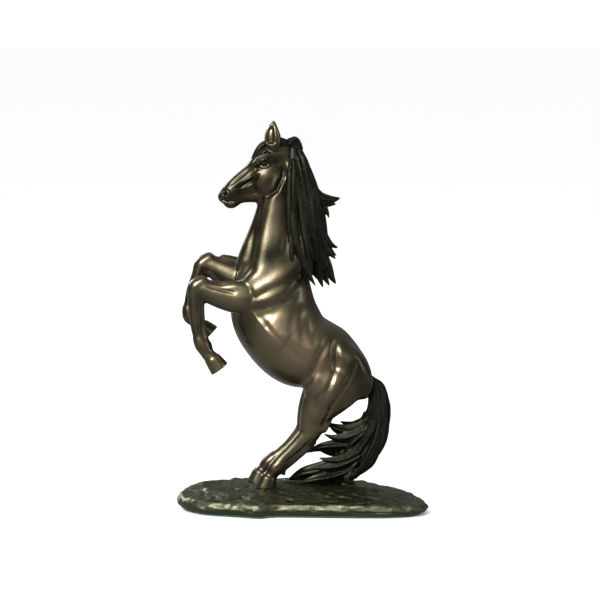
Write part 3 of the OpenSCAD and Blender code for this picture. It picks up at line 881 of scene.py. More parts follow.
RIGHT_HIND = Limb(
    (
        ((15, 14, 84, 15.6, 10), (9, 13.4, 74, 12.2, 8.6), (5.6, 13, 66, 9.8, 7),
         (3.6, 13, 59.6, 8, 6.2)),
        ((24, 13.4, 81, 5, 4.4), (19.2, 13, 72, 3.2, 3), (16.4, 13, 65, 3, 3.2),
         (13.4, 13, 60, 3.2, 3.4)),
        ((8, 13, 64.6, 7.6, 6.6), (4, 13, 58, 7.6, 6.4), (-0.4, 13, 53, 6.4, 5.6)),
        ((1.4, 13, 55.4, 7.2, 5.6), (-4.2, 13, 49, 6.4, 5), (-10, 13, 43, 5.9, 4.8),
         (-16.2, 13, 37.6, 5.7, 4.8), (-21.4, 13, 33.4, 5.8, 5.2)),
        ((5.4, 13, 51, 3, 3), (-1, 13, 44.6, 2.6, 2.8), (-8.4, 13, 38.6, 2.6, 2.8),
         (-17.6, 13, 32.2, 3, 3.2)),
        ((-21, 13, 35.2, 5.2, 5.2), (-25, 13, 31.2, 6, 5.8), (-27.4, 13, 28.4, 5.4, 5.4)),
        ((-20.6, 13, 29, 2.9, 3), (-19, 13, 26, 1.4, 1.8)),
        ((-26.4, 13, 30, 5.1, 5.2), (-28.8, 13, 27, 4.8, 5), (-30.8, 13, 24.6, 5.4, 5.4))),
    Hoof((-31, 13, 24.8), (-34.0, 13, 16.6), (0, 0, -1), (6.1, 6.0), (8.4, 7.4)))


@dataclass
class HorseFigure:
    """The naked horse, modelled as one and sawn into the sections it is cast in.

    A form that is not in the middle is written on the right side and made on both.

    Attributes:
        rough_grain: Size of the skin's facets when the trunk is first worked together.
        middle_grain: Their size when the muscles are added.
        grain: Their size over the finished body and legs.
        fine_grain: Their size over the finished head and neck.
        trunk: The barrel, from the withers to the dock.
        neck: The neck, from the shoulders up.
        under_forms: Haunches, thighs, flanks and ribs, worked in with the trunk.
        over_forms: Shoulders, breast and points of the hips, laid over them.
        middle_forms: Breastbone, throat, crest and croup.
        neck_forms: The muscles on the sides of the neck.
        cheek: The cheek.
        brow_and_nostril: The brow and the rim of the nostril.
        ear: The ear.
        eye: The eye.
        head_middle: The skull, from the poll to the lips.
        limbs: The legs and their sides.
        cuts: Where the legs are sawn off: name, point, direction of the leg, and reach of the saw.
        neck_cut: Where the head and neck are sawn off: point, direction and reach.
        low_neck: A point lower down, where they are sawn off before the fine work.
        ear_depth: How deep the ears are hollowed.
        ear_span: The heights between which the hollows begin, and between which they end.
        muscle_strokes: The tool's strokes over the body and legs.
        head_strokes: The tool's strokes over the head.
        warm_patina_and_painted_highlight_spots: Where the colour is warmer and lighter, partly a
            warmer patina and partly painted highlight: x, z, reach and share.
        dark_patina_and_painted_shade_spots: Where it is darker, partly a darker patina and partly
            painted shade: x, z, reach and share.
    """

    rough_grain: float = 1.5
    middle_grain: float = 0.9
    grain: float = 0.65
    fine_grain: float = 0.435
    trunk: Rows = (
        (-22, 0, 187, 21, 13), (-21.6, 0, 172, 27.6, 18), (-22, 0, 158, 31.4, 22.4),
        (-20.8, 0, 146, 32.6, 25.4), (-13, 0, 132, 31.8, 26.8), (-2.6, 0, 121.4, 30.6, 27),
        (10.4, 0, 116, 27.4, 26.2), (20.6, 0, 111, 26, 23), (31, 0, 104.6, 20.4, 18.5),
        (39, 0, 96, 13, 14.5), (44, 0, 88, 8, 9))
    neck: Rows = (
        (-21, 0, 172, 24, 14.5), (-21, 0, 184, 24, 13.8), (-20, 0, 198, 21.5, 12),
        (-18.5, 0, 212, 18.6, 10.3), (-16.5, 0, 226, 16, 9.2), (-15, 0, 240, 14, 8.6),
        (-14, 0, 253, 12.2, 8), (-13.5, 0, 263, 9.5, 7))
    under_forms: tuple[Rows, ...] = (
        ((16, 9, 121, 10, 8), (28, 11.5, 117, 12.5, 10), (38, 11.5, 106, 12.5, 10.5),
         (45, 9.5, 95, 9.5, 8.5), (46, 8.5, 87, 6, 6)),
        ((30, 10, 108, 14, 9), (26, 14, 98, 16.5, 11.5), (19, 15, 89, 16, 11.5),
         (15, 14, 80, 12.5, 9.5), (12, 13.3, 72, 9.6, 8)),
        ((24, 13, 111, 9, 7.5), (14, 17, 101, 10, 8), (7.5, 17, 92.5, 7.5, 6.6),
         (6, 15.5, 87, 5, 5)),
        ((43, 9.5, 98, 9, 7.8), (36, 12.8, 88, 8, 8), (27, 14, 79, 6.5, 7), (19, 13.4, 71, 4.6, 5)),
        ((-18, 9, 160, 17, 10), (-12, 12.5, 142, 18.5, 12), (-1, 12.5, 128, 16.5, 12),
         (10, 10.5, 120, 12.5, 9)))
    over_forms: tuple[Rows, ...] = (
        ((0, 9, 191, 7, 4.5), (-8, 13, 182, 9, 6), (-20, 15.5, 172, 9.5, 7.2),
         (-33, 15, 165, 9, 8)),
        ((-2, 6, 197, 6, 4.5), (-16, 11.5, 187, 8, 5.5), (-30, 14, 177, 8.2, 6.8),
         (-39, 13, 169, 7.6, 7)),
        ((-38, 6, 181, 8, 6.2), (-42, 7.8, 168, 9, 7.4), (-41.5, 7.8, 156, 7.6, 6.8),
         (-37, 7, 146, 4.8, 4.8)),
        ((22, 12, 127, 4, 3.6), (26, 15, 120, 5, 4.2), (25, 17, 112, 4, 4)))
    middle_forms: tuple[Rows, ...] = (
        ((-43, 0, 167, 6, 5), (-44, 0, 152, 6.6, 5), (-40, 0, 137, 5.5, 5)),
        ((-26.6, 0, 233, 5.4, 4.8), (-31.6, 0, 214, 6.4, 5.6), (-37.4, 0, 196, 8, 7),
         (-41.6, 0, 181, 9.5, 8)),
        ((-6, 0, 268, 4.4, 3.4), (-3, 0, 250, 5, 3.6), (-1.5, 0, 228, 5.6, 4),
         (0, 0, 208, 6.4, 4.6), (0.5, 0, 192, 7.5, 5.6), (1.5, 0, 178, 8, 7)),
        ((20, 0, 127, 9, 6), (32, 0, 121, 9, 7), (41, 0, 108, 8, 7.5), (47, 0, 98, 6.2, 6),
         (52, 0, 94, 4, 4)))
    neck_forms: tuple[Rows, ...] = (
        ((-17, 6, 250, 6.5, 4.2), (-19.6, 7.6, 232, 10, 5.2), (-21.6, 8.8, 213, 12, 6),
         (-24, 10.4, 196, 12, 7), (-28, 12.4, 182, 10, 7)),
        ((-10, 4.6, 260, 4.6, 3.4), (-7, 5.8, 240, 6.4, 4), (-5.4, 7.4, 216, 8, 4.6),
         (-5, 9, 196, 9, 5.6)))
    cheek: Rows = (
        (-20.5, 5.2, 257, 8, 3.6), (-25.5, 6.2, 248.5, 10, 4), (-30, 5.4, 241.5, 7.6, 3.6))
    brow_and_nostril: tuple[Rows, ...] = (
        ((-25, 7, 266, 3, 2.6), (-30, 7.6, 263.6, 3, 2.4), (-34.5, 6.2, 259.5, 2.4, 2.2)),
        ((-55.4, 3.4, 236.8, 3.4, 2.8), (-57.9, 3.6, 236.4, 3.2, 2.6)))
    ear: Rows = (
        (-20.4, 4.4, 268.5, 4.4, 3.6), (-21.4, 5.2, 275, 6, 3.8), (-22, 5.8, 280.5, 5.8, 3.2),
        (-21.8, 6, 286, 3.9, 2.1), (-21, 5.6, 290.8, 0.9, 0.6))
    eye: Rows = (
        (-28.9, 6.4, 260, 2.5, 2.4), (-28.3, 6.8, 260.1, 2.6, 2.5), (-27.7, 6.6, 260, 2.5, 2.4))
    head_middle: tuple[Rows, ...] = (
        ((-12, 0, 265, 9.4, 7), (-21, 0, 265.4, 10, 8.6), (-28, 0, 263.2, 9.4, 8.6),
         (-34.2, 0, 257.8, 6.8, 7)),
        ((-27.6, 0, 261.4, 7.6, 6.4), (-37, 0, 252.6, 7.4, 5.8), (-46.6, 0, 244.6, 7.4, 5),
         (-53, 0, 240, 6.2, 4.8), (-57.4, 0, 237, 4.6, 4.6)),
        ((-22, 0, 250, 10, 6.6), (-30, 0, 245, 10, 6), (-39, 0, 241.4, 8, 5),
         (-47.5, 0, 239.5, 6.2, 4.2)),
        ((-26, 0, 237.4, 5.6, 6.2), (-36, 0, 235, 4.8, 5), (-46, 0, 233.4, 3.8, 4),
         (-53, 0, 230.6, 3, 3.6)),
        ((-50.6, 0, 238.4, 6.8, 5.2), (-56.4, 0, 235.6, 6.4, 5.8), (-58.8, 0, 234.2, 5, 5)),
        ((-48.4, 0, 230.6, 3, 3.4), (-52.6, 0, 228.4, 3.2, 3.8), (-56.2, 0, 228.4, 2.3, 3)))
    limbs: tuple[tuple[Limb, Side], ...] = (
        (LEFT_FORE, Side.LEFT), (RIGHT_FORE, Side.RIGHT),
        (LEFT_HIND, Side.LEFT), (RIGHT_HIND, Side.RIGHT))
    cuts: tuple[tuple[str, Place, Place, float], ...] = (
        ("left_foreleg", (-57, -14.5, 161.8), (-0.97, 0, 0.24), 18),
        ("right_foreleg", (-57, 14.6, 176.8), (-0.9, 0, 0.43), 18),
        ("left_hindleg", (11, -13, 73.6), (-0.28, 0, -0.96), 20),
        ("right_hindleg", (9.6, 13, 73.6), (-0.3, 0, -0.95), 20))
    neck_cut: tuple[Place, Place, float] = ((-21, 0, 184), (0.44, 0, 0.9), 38)
    low_neck: Place = (-23, 0, 179)
    ear_depth: float = 2.3
    ear_span: tuple[Point2, Point2] = ((273.5, 276.5), (285.5, 289))
    muscle_strokes: tuple[Stroke, ...] = (
        Stroke(((-24, 241), (-30, 220), (-35.6, 202), (-37, 192)), 3.2, -1.1),
        Stroke(((-4, 168), (-11, 157), (-22, 149.5), (-34, 147)), 3.4, -0.7, 8),
        Stroke(((-7, 176), (-17, 168.5), (-30, 161.5)), 2.6, -0.35, 8),
        Stroke(((-26, 140), (-19, 133.6), (-11, 128)), 7.0, 1.3, 8),
        Stroke(((19, 129), (13, 117), (8, 106), (3, 97)), 3.2, -1.6, 8),
        Stroke(((25.4, 127), (25, 118), (24.6, 108)), 2.3, -1.7, 6),
        Stroke(((25, 108), (20, 95), (15, 84)), 2.0, -0.9, 8),
        Stroke(((40, 113), (35, 99), (27, 87), (20, 77)), 2.0, -1.1, 6),
        Stroke(((48, 100), (42, 90), (33, 80)), 1.6, -0.8, 4),
        Stroke(((16, 92), (10, 84), (9, 74)), 1.5, -0.6, 8),
        Stroke(((-30, 146), (-20, 133), (-8, 121), (3, 112)), 2.2, -0.7, 8),
        Stroke(((-1, 158), (-5, 151), (-7.4, 144), (-8, 137.6), (-7, 131)), 3.2, -0.38, 10),
        Stroke(((5, 152), (1.6, 145.6), (0, 139), (0.2, 132.4), (2, 126)), 3.2, -0.38, 10),
        Stroke(((11.6, 146), (9.4, 140), (8.6, 134), (9.2, 127.6), (11, 121)), 3.0, -0.34, 10),
        Stroke(((-38, 152), (-33, 145), (-27, 138), (-20, 131.2), (-13, 125), (-6.6, 119.4),
         (-1, 114), (7, 103)), 0.8, 0.3, 8),
        Stroke(((-12, 134), (-4, 128), (6, 123)), 0.6, 0.3, 8),
        Stroke(((-52, 171), (-60, 171), (-68, 172.5)), 1.3, -0.35, 10, Side.LEFT),
        Stroke(((-50, 164.5), (-60, 167), (-70, 169.4)), 1.1, -0.7, 10, Side.LEFT),
        Stroke(((-50, 181), (-58, 184.4), (-66, 187)), 1.0, -0.5, 10, Side.RIGHT),
        Stroke(((-49, 175), (-58, 180), (-66, 183.4)), 1.1, -0.7, 10, Side.RIGHT),
        Stroke(((-77.6, 160), (-77.6, 148), (-76.6, 137)), 0.8, -0.7, 10, Side.LEFT),
        Stroke(((-75.6, 176), (-78.8, 167), (-81.8, 156)), 0.8, -0.7, 10, Side.RIGHT),
        Stroke(((7, 54), (1.5, 48), (-6, 41.5), (-13, 36)), 0.8, -0.7, 9, Side.LEFT),
        Stroke(((4, 53), (-2, 47), (-10.5, 40.6), (-18, 35.4)), 0.8, -0.7, 9, Side.RIGHT),
        Stroke(((21, 77), (17.4, 69), (14.6, 63)), 1.2, -1.2, 9))
    head_strokes: tuple[Stroke, ...] = (
        Stroke(((-13.6, 258), (-14.6, 249), (-19, 240.5), (-27, 235)), 1.8, -2.0, 3),
        Stroke(((-32, 254), (-38, 249.6), (-44.5, 245.4)), 1.3, 1.0, 2.5),
        Stroke(((-33, 250.8), (-39, 246.4), (-45, 243)), 1.3, -0.9, 2.5),
        Stroke(((-36.5, 258), (-46, 249.8), (-53, 244)), 1.4, -0.7, 2.5),
        Stroke(((-34, 250), (-36.2, 243), (-34, 237)), 1.5, -0.7, 2.5),
        Stroke(((-32.2, 259), (-30.6, 262.4), (-27.8, 263.2), (-25.2, 261.8), (-24, 259.4)), 0.8,
         0.9, 4),
        Stroke(((-32.6, 261.6), (-30, 264.8), (-26.6, 265)), 0.9, -0.7, 4),
        Stroke(((-32.2, 258.6), (-29.4, 256.9), (-26.4, 257.2), (-24, 258.8)), 0.7, 0.6, 4),
        Stroke(((-32.4, 258.2), (-34.6, 255.8)), 0.8, -0.7, 4),
        Stroke(((-59.2, 238.6), (-57.6, 238), (-56.3, 236)), 1.2, -2.4, 2.2),
        Stroke(((-61, 236.8), (-60.4, 240), (-57.8, 240.8), (-54.8, 239), (-54.2, 235.8)), 0.8,
         0.7, 2),
        Stroke(((-63.4, 232.6), (-59, 231.6), (-54.6, 231), (-50.8, 231.2)), 0.6, -1.4, 0),
        Stroke(((-52, 233.4), (-50, 235.6)), 0.9, -0.4, 2),
        Stroke(((-29, 252), (-35, 245), (-43, 240.6)), 0.5, 0.35, 3),
        Stroke(((-36, 247), (-45, 240.5), (-50, 240)), 0.45, 0.3, 3))
    # Warm spots over the barrel, flank, shoulder and middle of the neck: partly a warmer patina and
    # partly painted highlight where the lamps' highlights fall.
    warm_patina_and_painted_highlight_spots: tuple[Spot, ...] = (
        (0, 122, 20, 1.0), (14, 112, 14, 0.8), (-20, 135, 14, 1.0), (16, 74, 12, 0.4),
        (-18, 176, 9, 0.4), (24, 104, 12, 0.4), (-25, 215, 10, 0.3))
    # Dark spots: partly a darker patina on the head and lower legs, and partly painted shade
    # between the mane and the shoulder, below the neck's highlight, over the haunch and over the
    # shoulder's highlight.
    dark_patina_and_painted_shade_spots: tuple[Spot, ...] = (
        (-46, 242, 26, 1.0), (-24, 262, 20, 0.95), (-19, 243, 17, 0.95), (42, 106, 17, 0.8),
        (30, 122, 12, 0.6), (48, 92, 14, 0.8), (-80, 138, 18, 0.6), (-88, 152, 18, 0.65),
        (-26, 26, 20, 0.6), (-14, 38, 12, 0.45), (-46, 196, 12, 0.7), (-42, 140, 12, 0.6),
        (14, 160, 16, 0.7), (-6, 196, 9, 0.6), (-10, 226, 11, 0.7), (-38, 212, 10, 0.9),
        (18, 96, 7, 0.2), (-60, 172, 10, 0.3), (-80, 184, 10, 0.3), (-25, 193, 10, 0.9),
        (-4, 178, 14, 0.9), (-33, 159, 9, 0.6), (-78, 164, 10, 0.4), (22, 130, 8, 0.5),
        (-13, 186, 10, 0.7), (-31, 180, 10, 0.55))

    def build(self) -> dict[str, Piece]:
        """Model the horse and saw it into its sections.

        Returns:
            The sections by the names of the castings that they stand for.
        """
        horse = self.model()
        log.info("horse modelled, %d points", len(horse.data.vertices))
        pick_up(horse)
        bpy.ops.object.duplicate()
        spare = bpy.context.object
        spare.name = "spare"
        seat, rise, reach = self.neck_cut
        head = part_off(spare, self.low_neck, rise, reach, "head_and_neck")
        self.finish_head(head)
        trim(head, seat, rise)
        self.tone(horse)
        mark_relief(horse, 1.4, 0.35)
        sections = {f"{name}_casting": part_off(horse, place, facing, reach, name)
                    for name, place, facing, reach in self.cuts}
        sections |= {"head_neck_casting": head, "body_casting": horse}
        for rest in (spare, part_off(horse, seat, rise, reach, "rough_head")):
            bpy.data.objects.remove(rest)
        rename(horse, "body")
        for piece in sections.values():
            shade(piece)
        return sections

    def model(self) -> Piece:
        """Model the horse from its trunk outwards, at an ever finer grain."""
        core = [mass(self.trunk, 48, 40), mass(self.neck, 40, 36)]
        horse = gather(core + pairs(self.under_forms, 32, 28), "horse")
        model_together(horse, self.rough_grain)
        smooth_over(horse, 7)
        added = pairs(self.over_forms, 28, 26) + pairs(self.neck_forms, 28, 30)
        added += [mass(rows, 28, 30) for rows in self.middle_forms]
        added += [mass(rows, 32, 30) for rows in self.head_middle]
        horse = gather([horse, *added, *pairs((self.cheek,), 24, 24)], "horse")
        model_together(horse, self.middle_grain)
        smooth_over(horse, 9)
        smooth_over(horse, 34, where=self.over_shoulder)
        legs = [form for limb, side in self.limbs for form in limb.build(side)]
        horse = gather([horse, *legs], "horse")
        model_together(horse, self.grain)
        smooth_over(horse, 5)
        for limb, side in self.limbs:
            horse = gather([horse, limb.hoof.build(side)], "horse")
        model_together(horse, self.grain)
        smooth_over(horse, 2)
        work_strokes(horse, self.muscle_strokes)
        smooth_over(horse, 1)
        return horse

    @staticmethod
    def over_shoulder(p: np.ndarray) -> np.ndarray:
        """How much each point belongs to the shoulder, which is rubbed smoother than the rest."""
        return np.exp(-(np.hypot(p[:, 0] + 20, 0.8 * (p[:, 2] - 178)) / 17) ** 4)

    def finish_head(self, head: Piece) -> None:
        """Add the ears, eyes, nostrils and mouth to the head at a finer grain."""
        parts = [head]
        for side in Side:
            forms = (*self.brow_and_nostril, self.ear)
            parts += [mass(mirrored(rows, side), 28, 28) for rows in forms]
            parts.append(mass(mirrored(self.eye, side), 24, 20))
        whole = gather(parts, "head_and_neck")
        model_together(whole, self.fine_grain)
        smooth_over(whole, 4, keep=True)
        work_strokes(whole, self.head_strokes)
        self.hollow_ears(whole)
        smooth_over(whole, 2, keep=True)
        self.tone(whole)
        mark_relief(whole, 1.8, 0.5)

    def hollow_ears(self, head: Piece) -> None:
        """Press the hollow into the front outer face of each ear."""
        points, normals = points_of(head), normals_of(head)
        out = np.zeros(len(points))
        begin, end = self.ear_span
        for side in Side:
            line = Spine(mirrored(self.ear, side)).line
            near = np.flatnonzero(
                (points[:, 2] > begin[0] - 1.5) & (points[:, 1] * side.value > 0.5))
            block = points[near]
            gap = ((block[:, None, :] - line[None, :, :3]) ** 2).sum(axis=2)
            rows = line[gap.argmin(axis=1)]
            facing = normals[near] @ np.array([-0.55, side.value * 0.83, 0.0])
            aside = np.abs((block - rows[:, :3]) @ np.array([0.83, side.value * 0.55, 0.0]))
            middle = 1 - aside / np.maximum(rows[:, 3] * 0.72, 0.3)
            level = smooth_step(*begin, block[:, 2]) * (1 - smooth_step(*end, block[:, 2]))
            press = -self.ear_depth * smooth_step(0.35, 0.8, facing)
            out[near] = press * smooth_step(0.0, 0.7, middle) * level
        set_points(head, points + normals * out[:, None])

    def tone(self, piece: Piece) -> None:
        """Record where the colour is warmer and lighter, partly patina and partly painted
        highlight, and where it is darker, partly patina and partly painted shade.
        """
        points = points_of(piece)
        for name, spots in (("warmth", self.warm_patina_and_painted_highlight_spots), ("darkness", self.dark_patina_and_painted_shade_spots)):
            level = np.zeros(len(points))
            for x, z, reach, share in spots:
                gap = np.hypot(points[:, 0] - x, points[:, 2] - z)
                level = np.maximum(level, share * np.exp(-((gap / reach) ** 2)))
            store(piece, name, level)


# Hair


@dataclass
class HairBundle:
    """Locks that lie round a core and follow it.

    Attributes:
        core: Stations of the core.
        locks: How many locks lie round it.
        lock_share: Radius of a lock as a share of the core's.
        swirl: How far a lock may wind round the core, in radians.
        start: The range of shares of the length at which a lock begins.
        stop: The range of shares of the length at which a lock ends.
        seat: How far out of the core the lock's line runs, as a share of its radius.
    """

    core: Rows
    locks: int = 16
    lock_share: float = 0.27
    swirl: float = 0.7
    start: Point2 = (0.0, 0.2)
    stop: Point2 = (0.8, 1.0)
    seat: float = 0.8

    def build(self, hand: np.random.Generator) -> list[Piece]:
        """Make the locks.

        Args:
            hand: The source of the small differences between locks.

        Returns:
            The locks, unjoined.
        """
        spine = Spine(self.core)
        share = np.linspace(0.0, 1.0, 8)
        girth = np.sin(math.pi * np.clip(0.12 + 0.85 * share, 0, 1)) ** 0.7
        made = []
        for i in range(self.locks):
            first_turn = 2 * math.pi * (i + hand.uniform(-0.3, 0.3)) / self.locks
            turn = first_turn + hand.uniform(-self.swirl, self.swirl) * share
            a = spine.length * hand.uniform(*self.start)
            b = spine.length * hand.uniform(*self.stop)
            s = np.linspace(a, b, 8)
            waves = share * math.pi * hand.uniform(1.6, 3.0) + hand.uniform(0, 6.28)
            out = self.seat + 0.10 * np.sin(waves)
            rows = spine.at(s, spine.line)
            over, across = spine.at(s, spine.over), spine.at(s, spine.across)
            line = (rows[:, :3] + over * (rows[:, 3] * out * np.cos(turn))[:, None]
                    + across * (rows[:, 4] * out * np.sin(turn))[:, None])
            thick = np.sqrt(rows[:, 3] * rows[:, 4]) * self.lock_share * girth
            deep = np.maximum(thick * hand.uniform(0.85, 1.2), 0.35)
            lock = [(*p, r, r * 0.85) for p, r in zip(line.tolist(), deep.tolist())]
            made.append(mass(lock, 30, 40, int(hand.integers(4, 7)), 0.13))
        return made


def cast_hair(parts: Sequence[Piece], fall: Rows, grain: float, name: str) -> Piece:
    """Work locks into one casting.

    Args:
        parts: The locks.
        fall: The line that the casting's pattern follows.
        grain: Size of its facets.
        name: Its name.

    Returns:
        The casting.
    """
    hair = gather(parts, name)
    model_together(hair, grain)
    clear_crumbs(hair)
    smooth_over(hair, 1)
    mark_relief(hair, 1.5, 0.3)
    mark_flow(hair, Spine(fall))
    shade(hair)
    return hair


@dataclass
class Mane:
    """The mane: a full fall behind the neck, layers over its sides, a forelock and loose tips."""

    grain: float = 0.46
    fall: Rows = (
        (-7, -1, 274.4, 3, 3), (-4, -1.5, 268, 6, 5), (-1.4, -2, 256, 8, 6.5),
        (1.2, -2, 242, 9.4, 7.6), (3, -2.4, 228, 10.2, 8.4), (4.8, -2.6, 213, 11, 8.8),
        (7.6, -2.6, 198, 11.6, 8.8), (11, -2.4, 184, 8.8, 7.6), (13.4, -2, 174, 4.4, 4.6))
    layer: Rows = (
        (-7, -5.4, 273, 3, 2.4), (-6, -8, 262, 5, 3), (-5, -9.2, 248, 6.6, 3.2),
        (-4, -10, 232, 7.6, 3.4), (-3, -11, 216, 8.2, 3.6), (-1, -12.6, 200, 8.6, 3.8),
        (2, -13.6, 187, 7.6, 3.4), (5, -13.4, 176, 4.6, 2.8))
    far_layer: Rows = (
        (-5, 4.6, 272, 3, 2.2), (-3, 7, 260, 4.4, 2.6), (-1, 8, 246, 5.4, 2.8),
        (1, 8.6, 230, 6, 3), (2, 9.4, 214, 6, 3), (4, 10, 200, 5, 2.8), (6, 10, 189, 3, 2.2))
    loose: tuple[Rows, ...] = (
        ((2, -3, 249, 3.4, 2.8), (7, -3.4, 241, 3.8, 3), (13, -3.6, 234.6, 4, 3),
         (20.6, -3.8, 232.6, 3.2, 2.6), (27.8, -3.8, 233.8, 0.9, 0.9)),
        ((4, 1, 243, 3.2, 2.8), (10, 1, 234, 3.2, 2.8), (17, 1, 229.6, 2.8, 2.2),
         (25, 1, 229, 0.7, 0.7)),
        ((8, -2, 240, 3.4, 3), (14, -2.6, 231, 3, 2.6), (18.4, -3, 224, 1.6, 1.5),
         (20, -3, 219, 0.5, 0.5)),
        ((9, -2, 218, 3.6, 3), (15, -3, 207.6, 3.2, 2.8), (20.4, -3.6, 200, 2.4, 2),
         (26.4, -4, 196.8, 0.7, 0.7)),
        ((10, 1, 212, 3.6, 3), (16, 1, 202, 3.2, 2.6), (21.4, 1, 194, 2, 1.8),
         (25.6, 1, 190.4, 0.6, 0.6)),
        ((13, -3, 206, 3.6, 3), (18.4, -3.6, 196, 3, 2.6), (24.8, -4, 188.6, 0.7, 0.7)),
        ((13, -3, 196, 3.6, 3.2), (18.6, -3.4, 184, 3.4, 3), (22, -3.4, 175, 2.4, 2),
         (25.4, -3.2, 169.6, 0.6, 0.6)),
        ((10, 1, 200, 3.4, 3), (14.6, 2, 186, 3.2, 2.8), (17.4, 2.4, 174, 2.2, 2),
         (20.6, 2.4, 167.8, 0.6, 0.6)),
        ((8, -6, 196, 3.4, 3), (11.6, -6, 184, 3.2, 2.8), (13.4, -5.6, 174, 2.2, 2),
         (15.6, -5, 167.4, 0.6, 0.6)),
        ((-1, -12, 204, 3.4, 2.6), (1, -14.4, 190, 3.2, 2.4), (5, -15, 178, 2.2, 1.8),
         (10, -14.6, 169.4, 0.5, 0.5)),
        ((-7, -10, 236, 2.6, 2.2), (-8.6, -12, 222, 2.4, 2), (-9.8, -13, 210, 1.6, 1.4),
         (-9.4, -13.6, 201, 0.5, 0.5)),
        ((-6, -12, 214, 2.6, 2.2), (-7.6, -14.4, 200, 2.4, 2), (-7.6, -15.8, 189, 1.5, 1.3),
         (-5.4, -16.2, 181, 0.5, 0.5)),
        ((3, 7, 238, 2.8, 2.4), (8, 8, 224, 2.6, 2.2), (13, 8.4, 212, 1.5, 1.4),
         (17, 8.4, 206, 0.5, 0.5)),
        ((-9, -1, 273, 2.6, 2.4), (-6, -1, 277.4, 2.2, 2.2), (-2.6, -1, 275.6, 1.6, 1.6),
         (0.6, -1, 270.4, 0.5, 0.5)),
        ((-12, 1, 272, 2.4, 2.4), (-9, 1, 276.2, 2.2, 2.2), (-5, 1.2, 276.6, 1.6, 1.6),
         (-1, 1.4, 272, 0.5, 0.5)))
    forelock: tuple[Rows, ...] = (
        ((-10, 0, 274, 2.6, 3), (-17, 0, 277, 2.4, 2.8), (-23, -0.8, 275.8, 2.4, 2.8),
         (-30, -1.8, 273, 2.2, 2.4), (-34.6, -2.6, 267.4, 1.6, 1.8), (-37.4, -3, 262.4, 0.6, 0.6)),
        ((-11, 1.4, 274, 2.4, 2.6), (-18.4, 2, 276.2, 2.2, 2.4), (-25.4, 2.8, 273.2, 2, 2.2),
         (-31.2, 3.2, 268, 1.5, 1.6), (-35.4, 3.2, 262.2, 0.6, 0.6)),
        ((-12, -2, 273.6, 2.4, 2.4), (-18, -3, 275.8, 2.2, 2.2), (-24.4, -5, 272, 1.9, 2),
         (-29.4, -6.8, 267, 1.4, 1.4), (-32.2, -7.2, 262.6, 0.5, 0.5)))

    def build(self) -> Piece:
        """Make the mane as one casting."""
        hand = np.random.default_rng(41)
        parts = [mass(thinned(self.fall, 0.74), 28, 34),
                 mass(thinned(self.layer, 0.8, 0.9), 24, 30)]
        for bundle in (
                HairBundle(self.fall, 17, 0.25, 0.5),
                HairBundle(self.fall, 12, 0.2, 0.8, (0.1, 0.4), (0.62, 0.95), 0.98),
                HairBundle(self.layer, 12, 0.4, 0.5, (0.0, 0.25), (0.7, 1.0), 0.8),
                HairBundle(self.far_layer, 9, 0.42, 0.5, (0.0, 0.2), (0.7, 1.0), 0.7)):
            parts += bundle.build(hand)
        parts += [mass(rows, 30, 36, 5, 0.14) for rows in (*self.loose, *self.forelock)]
        return cast_hair(parts, self.fall, self.grain, "mane")


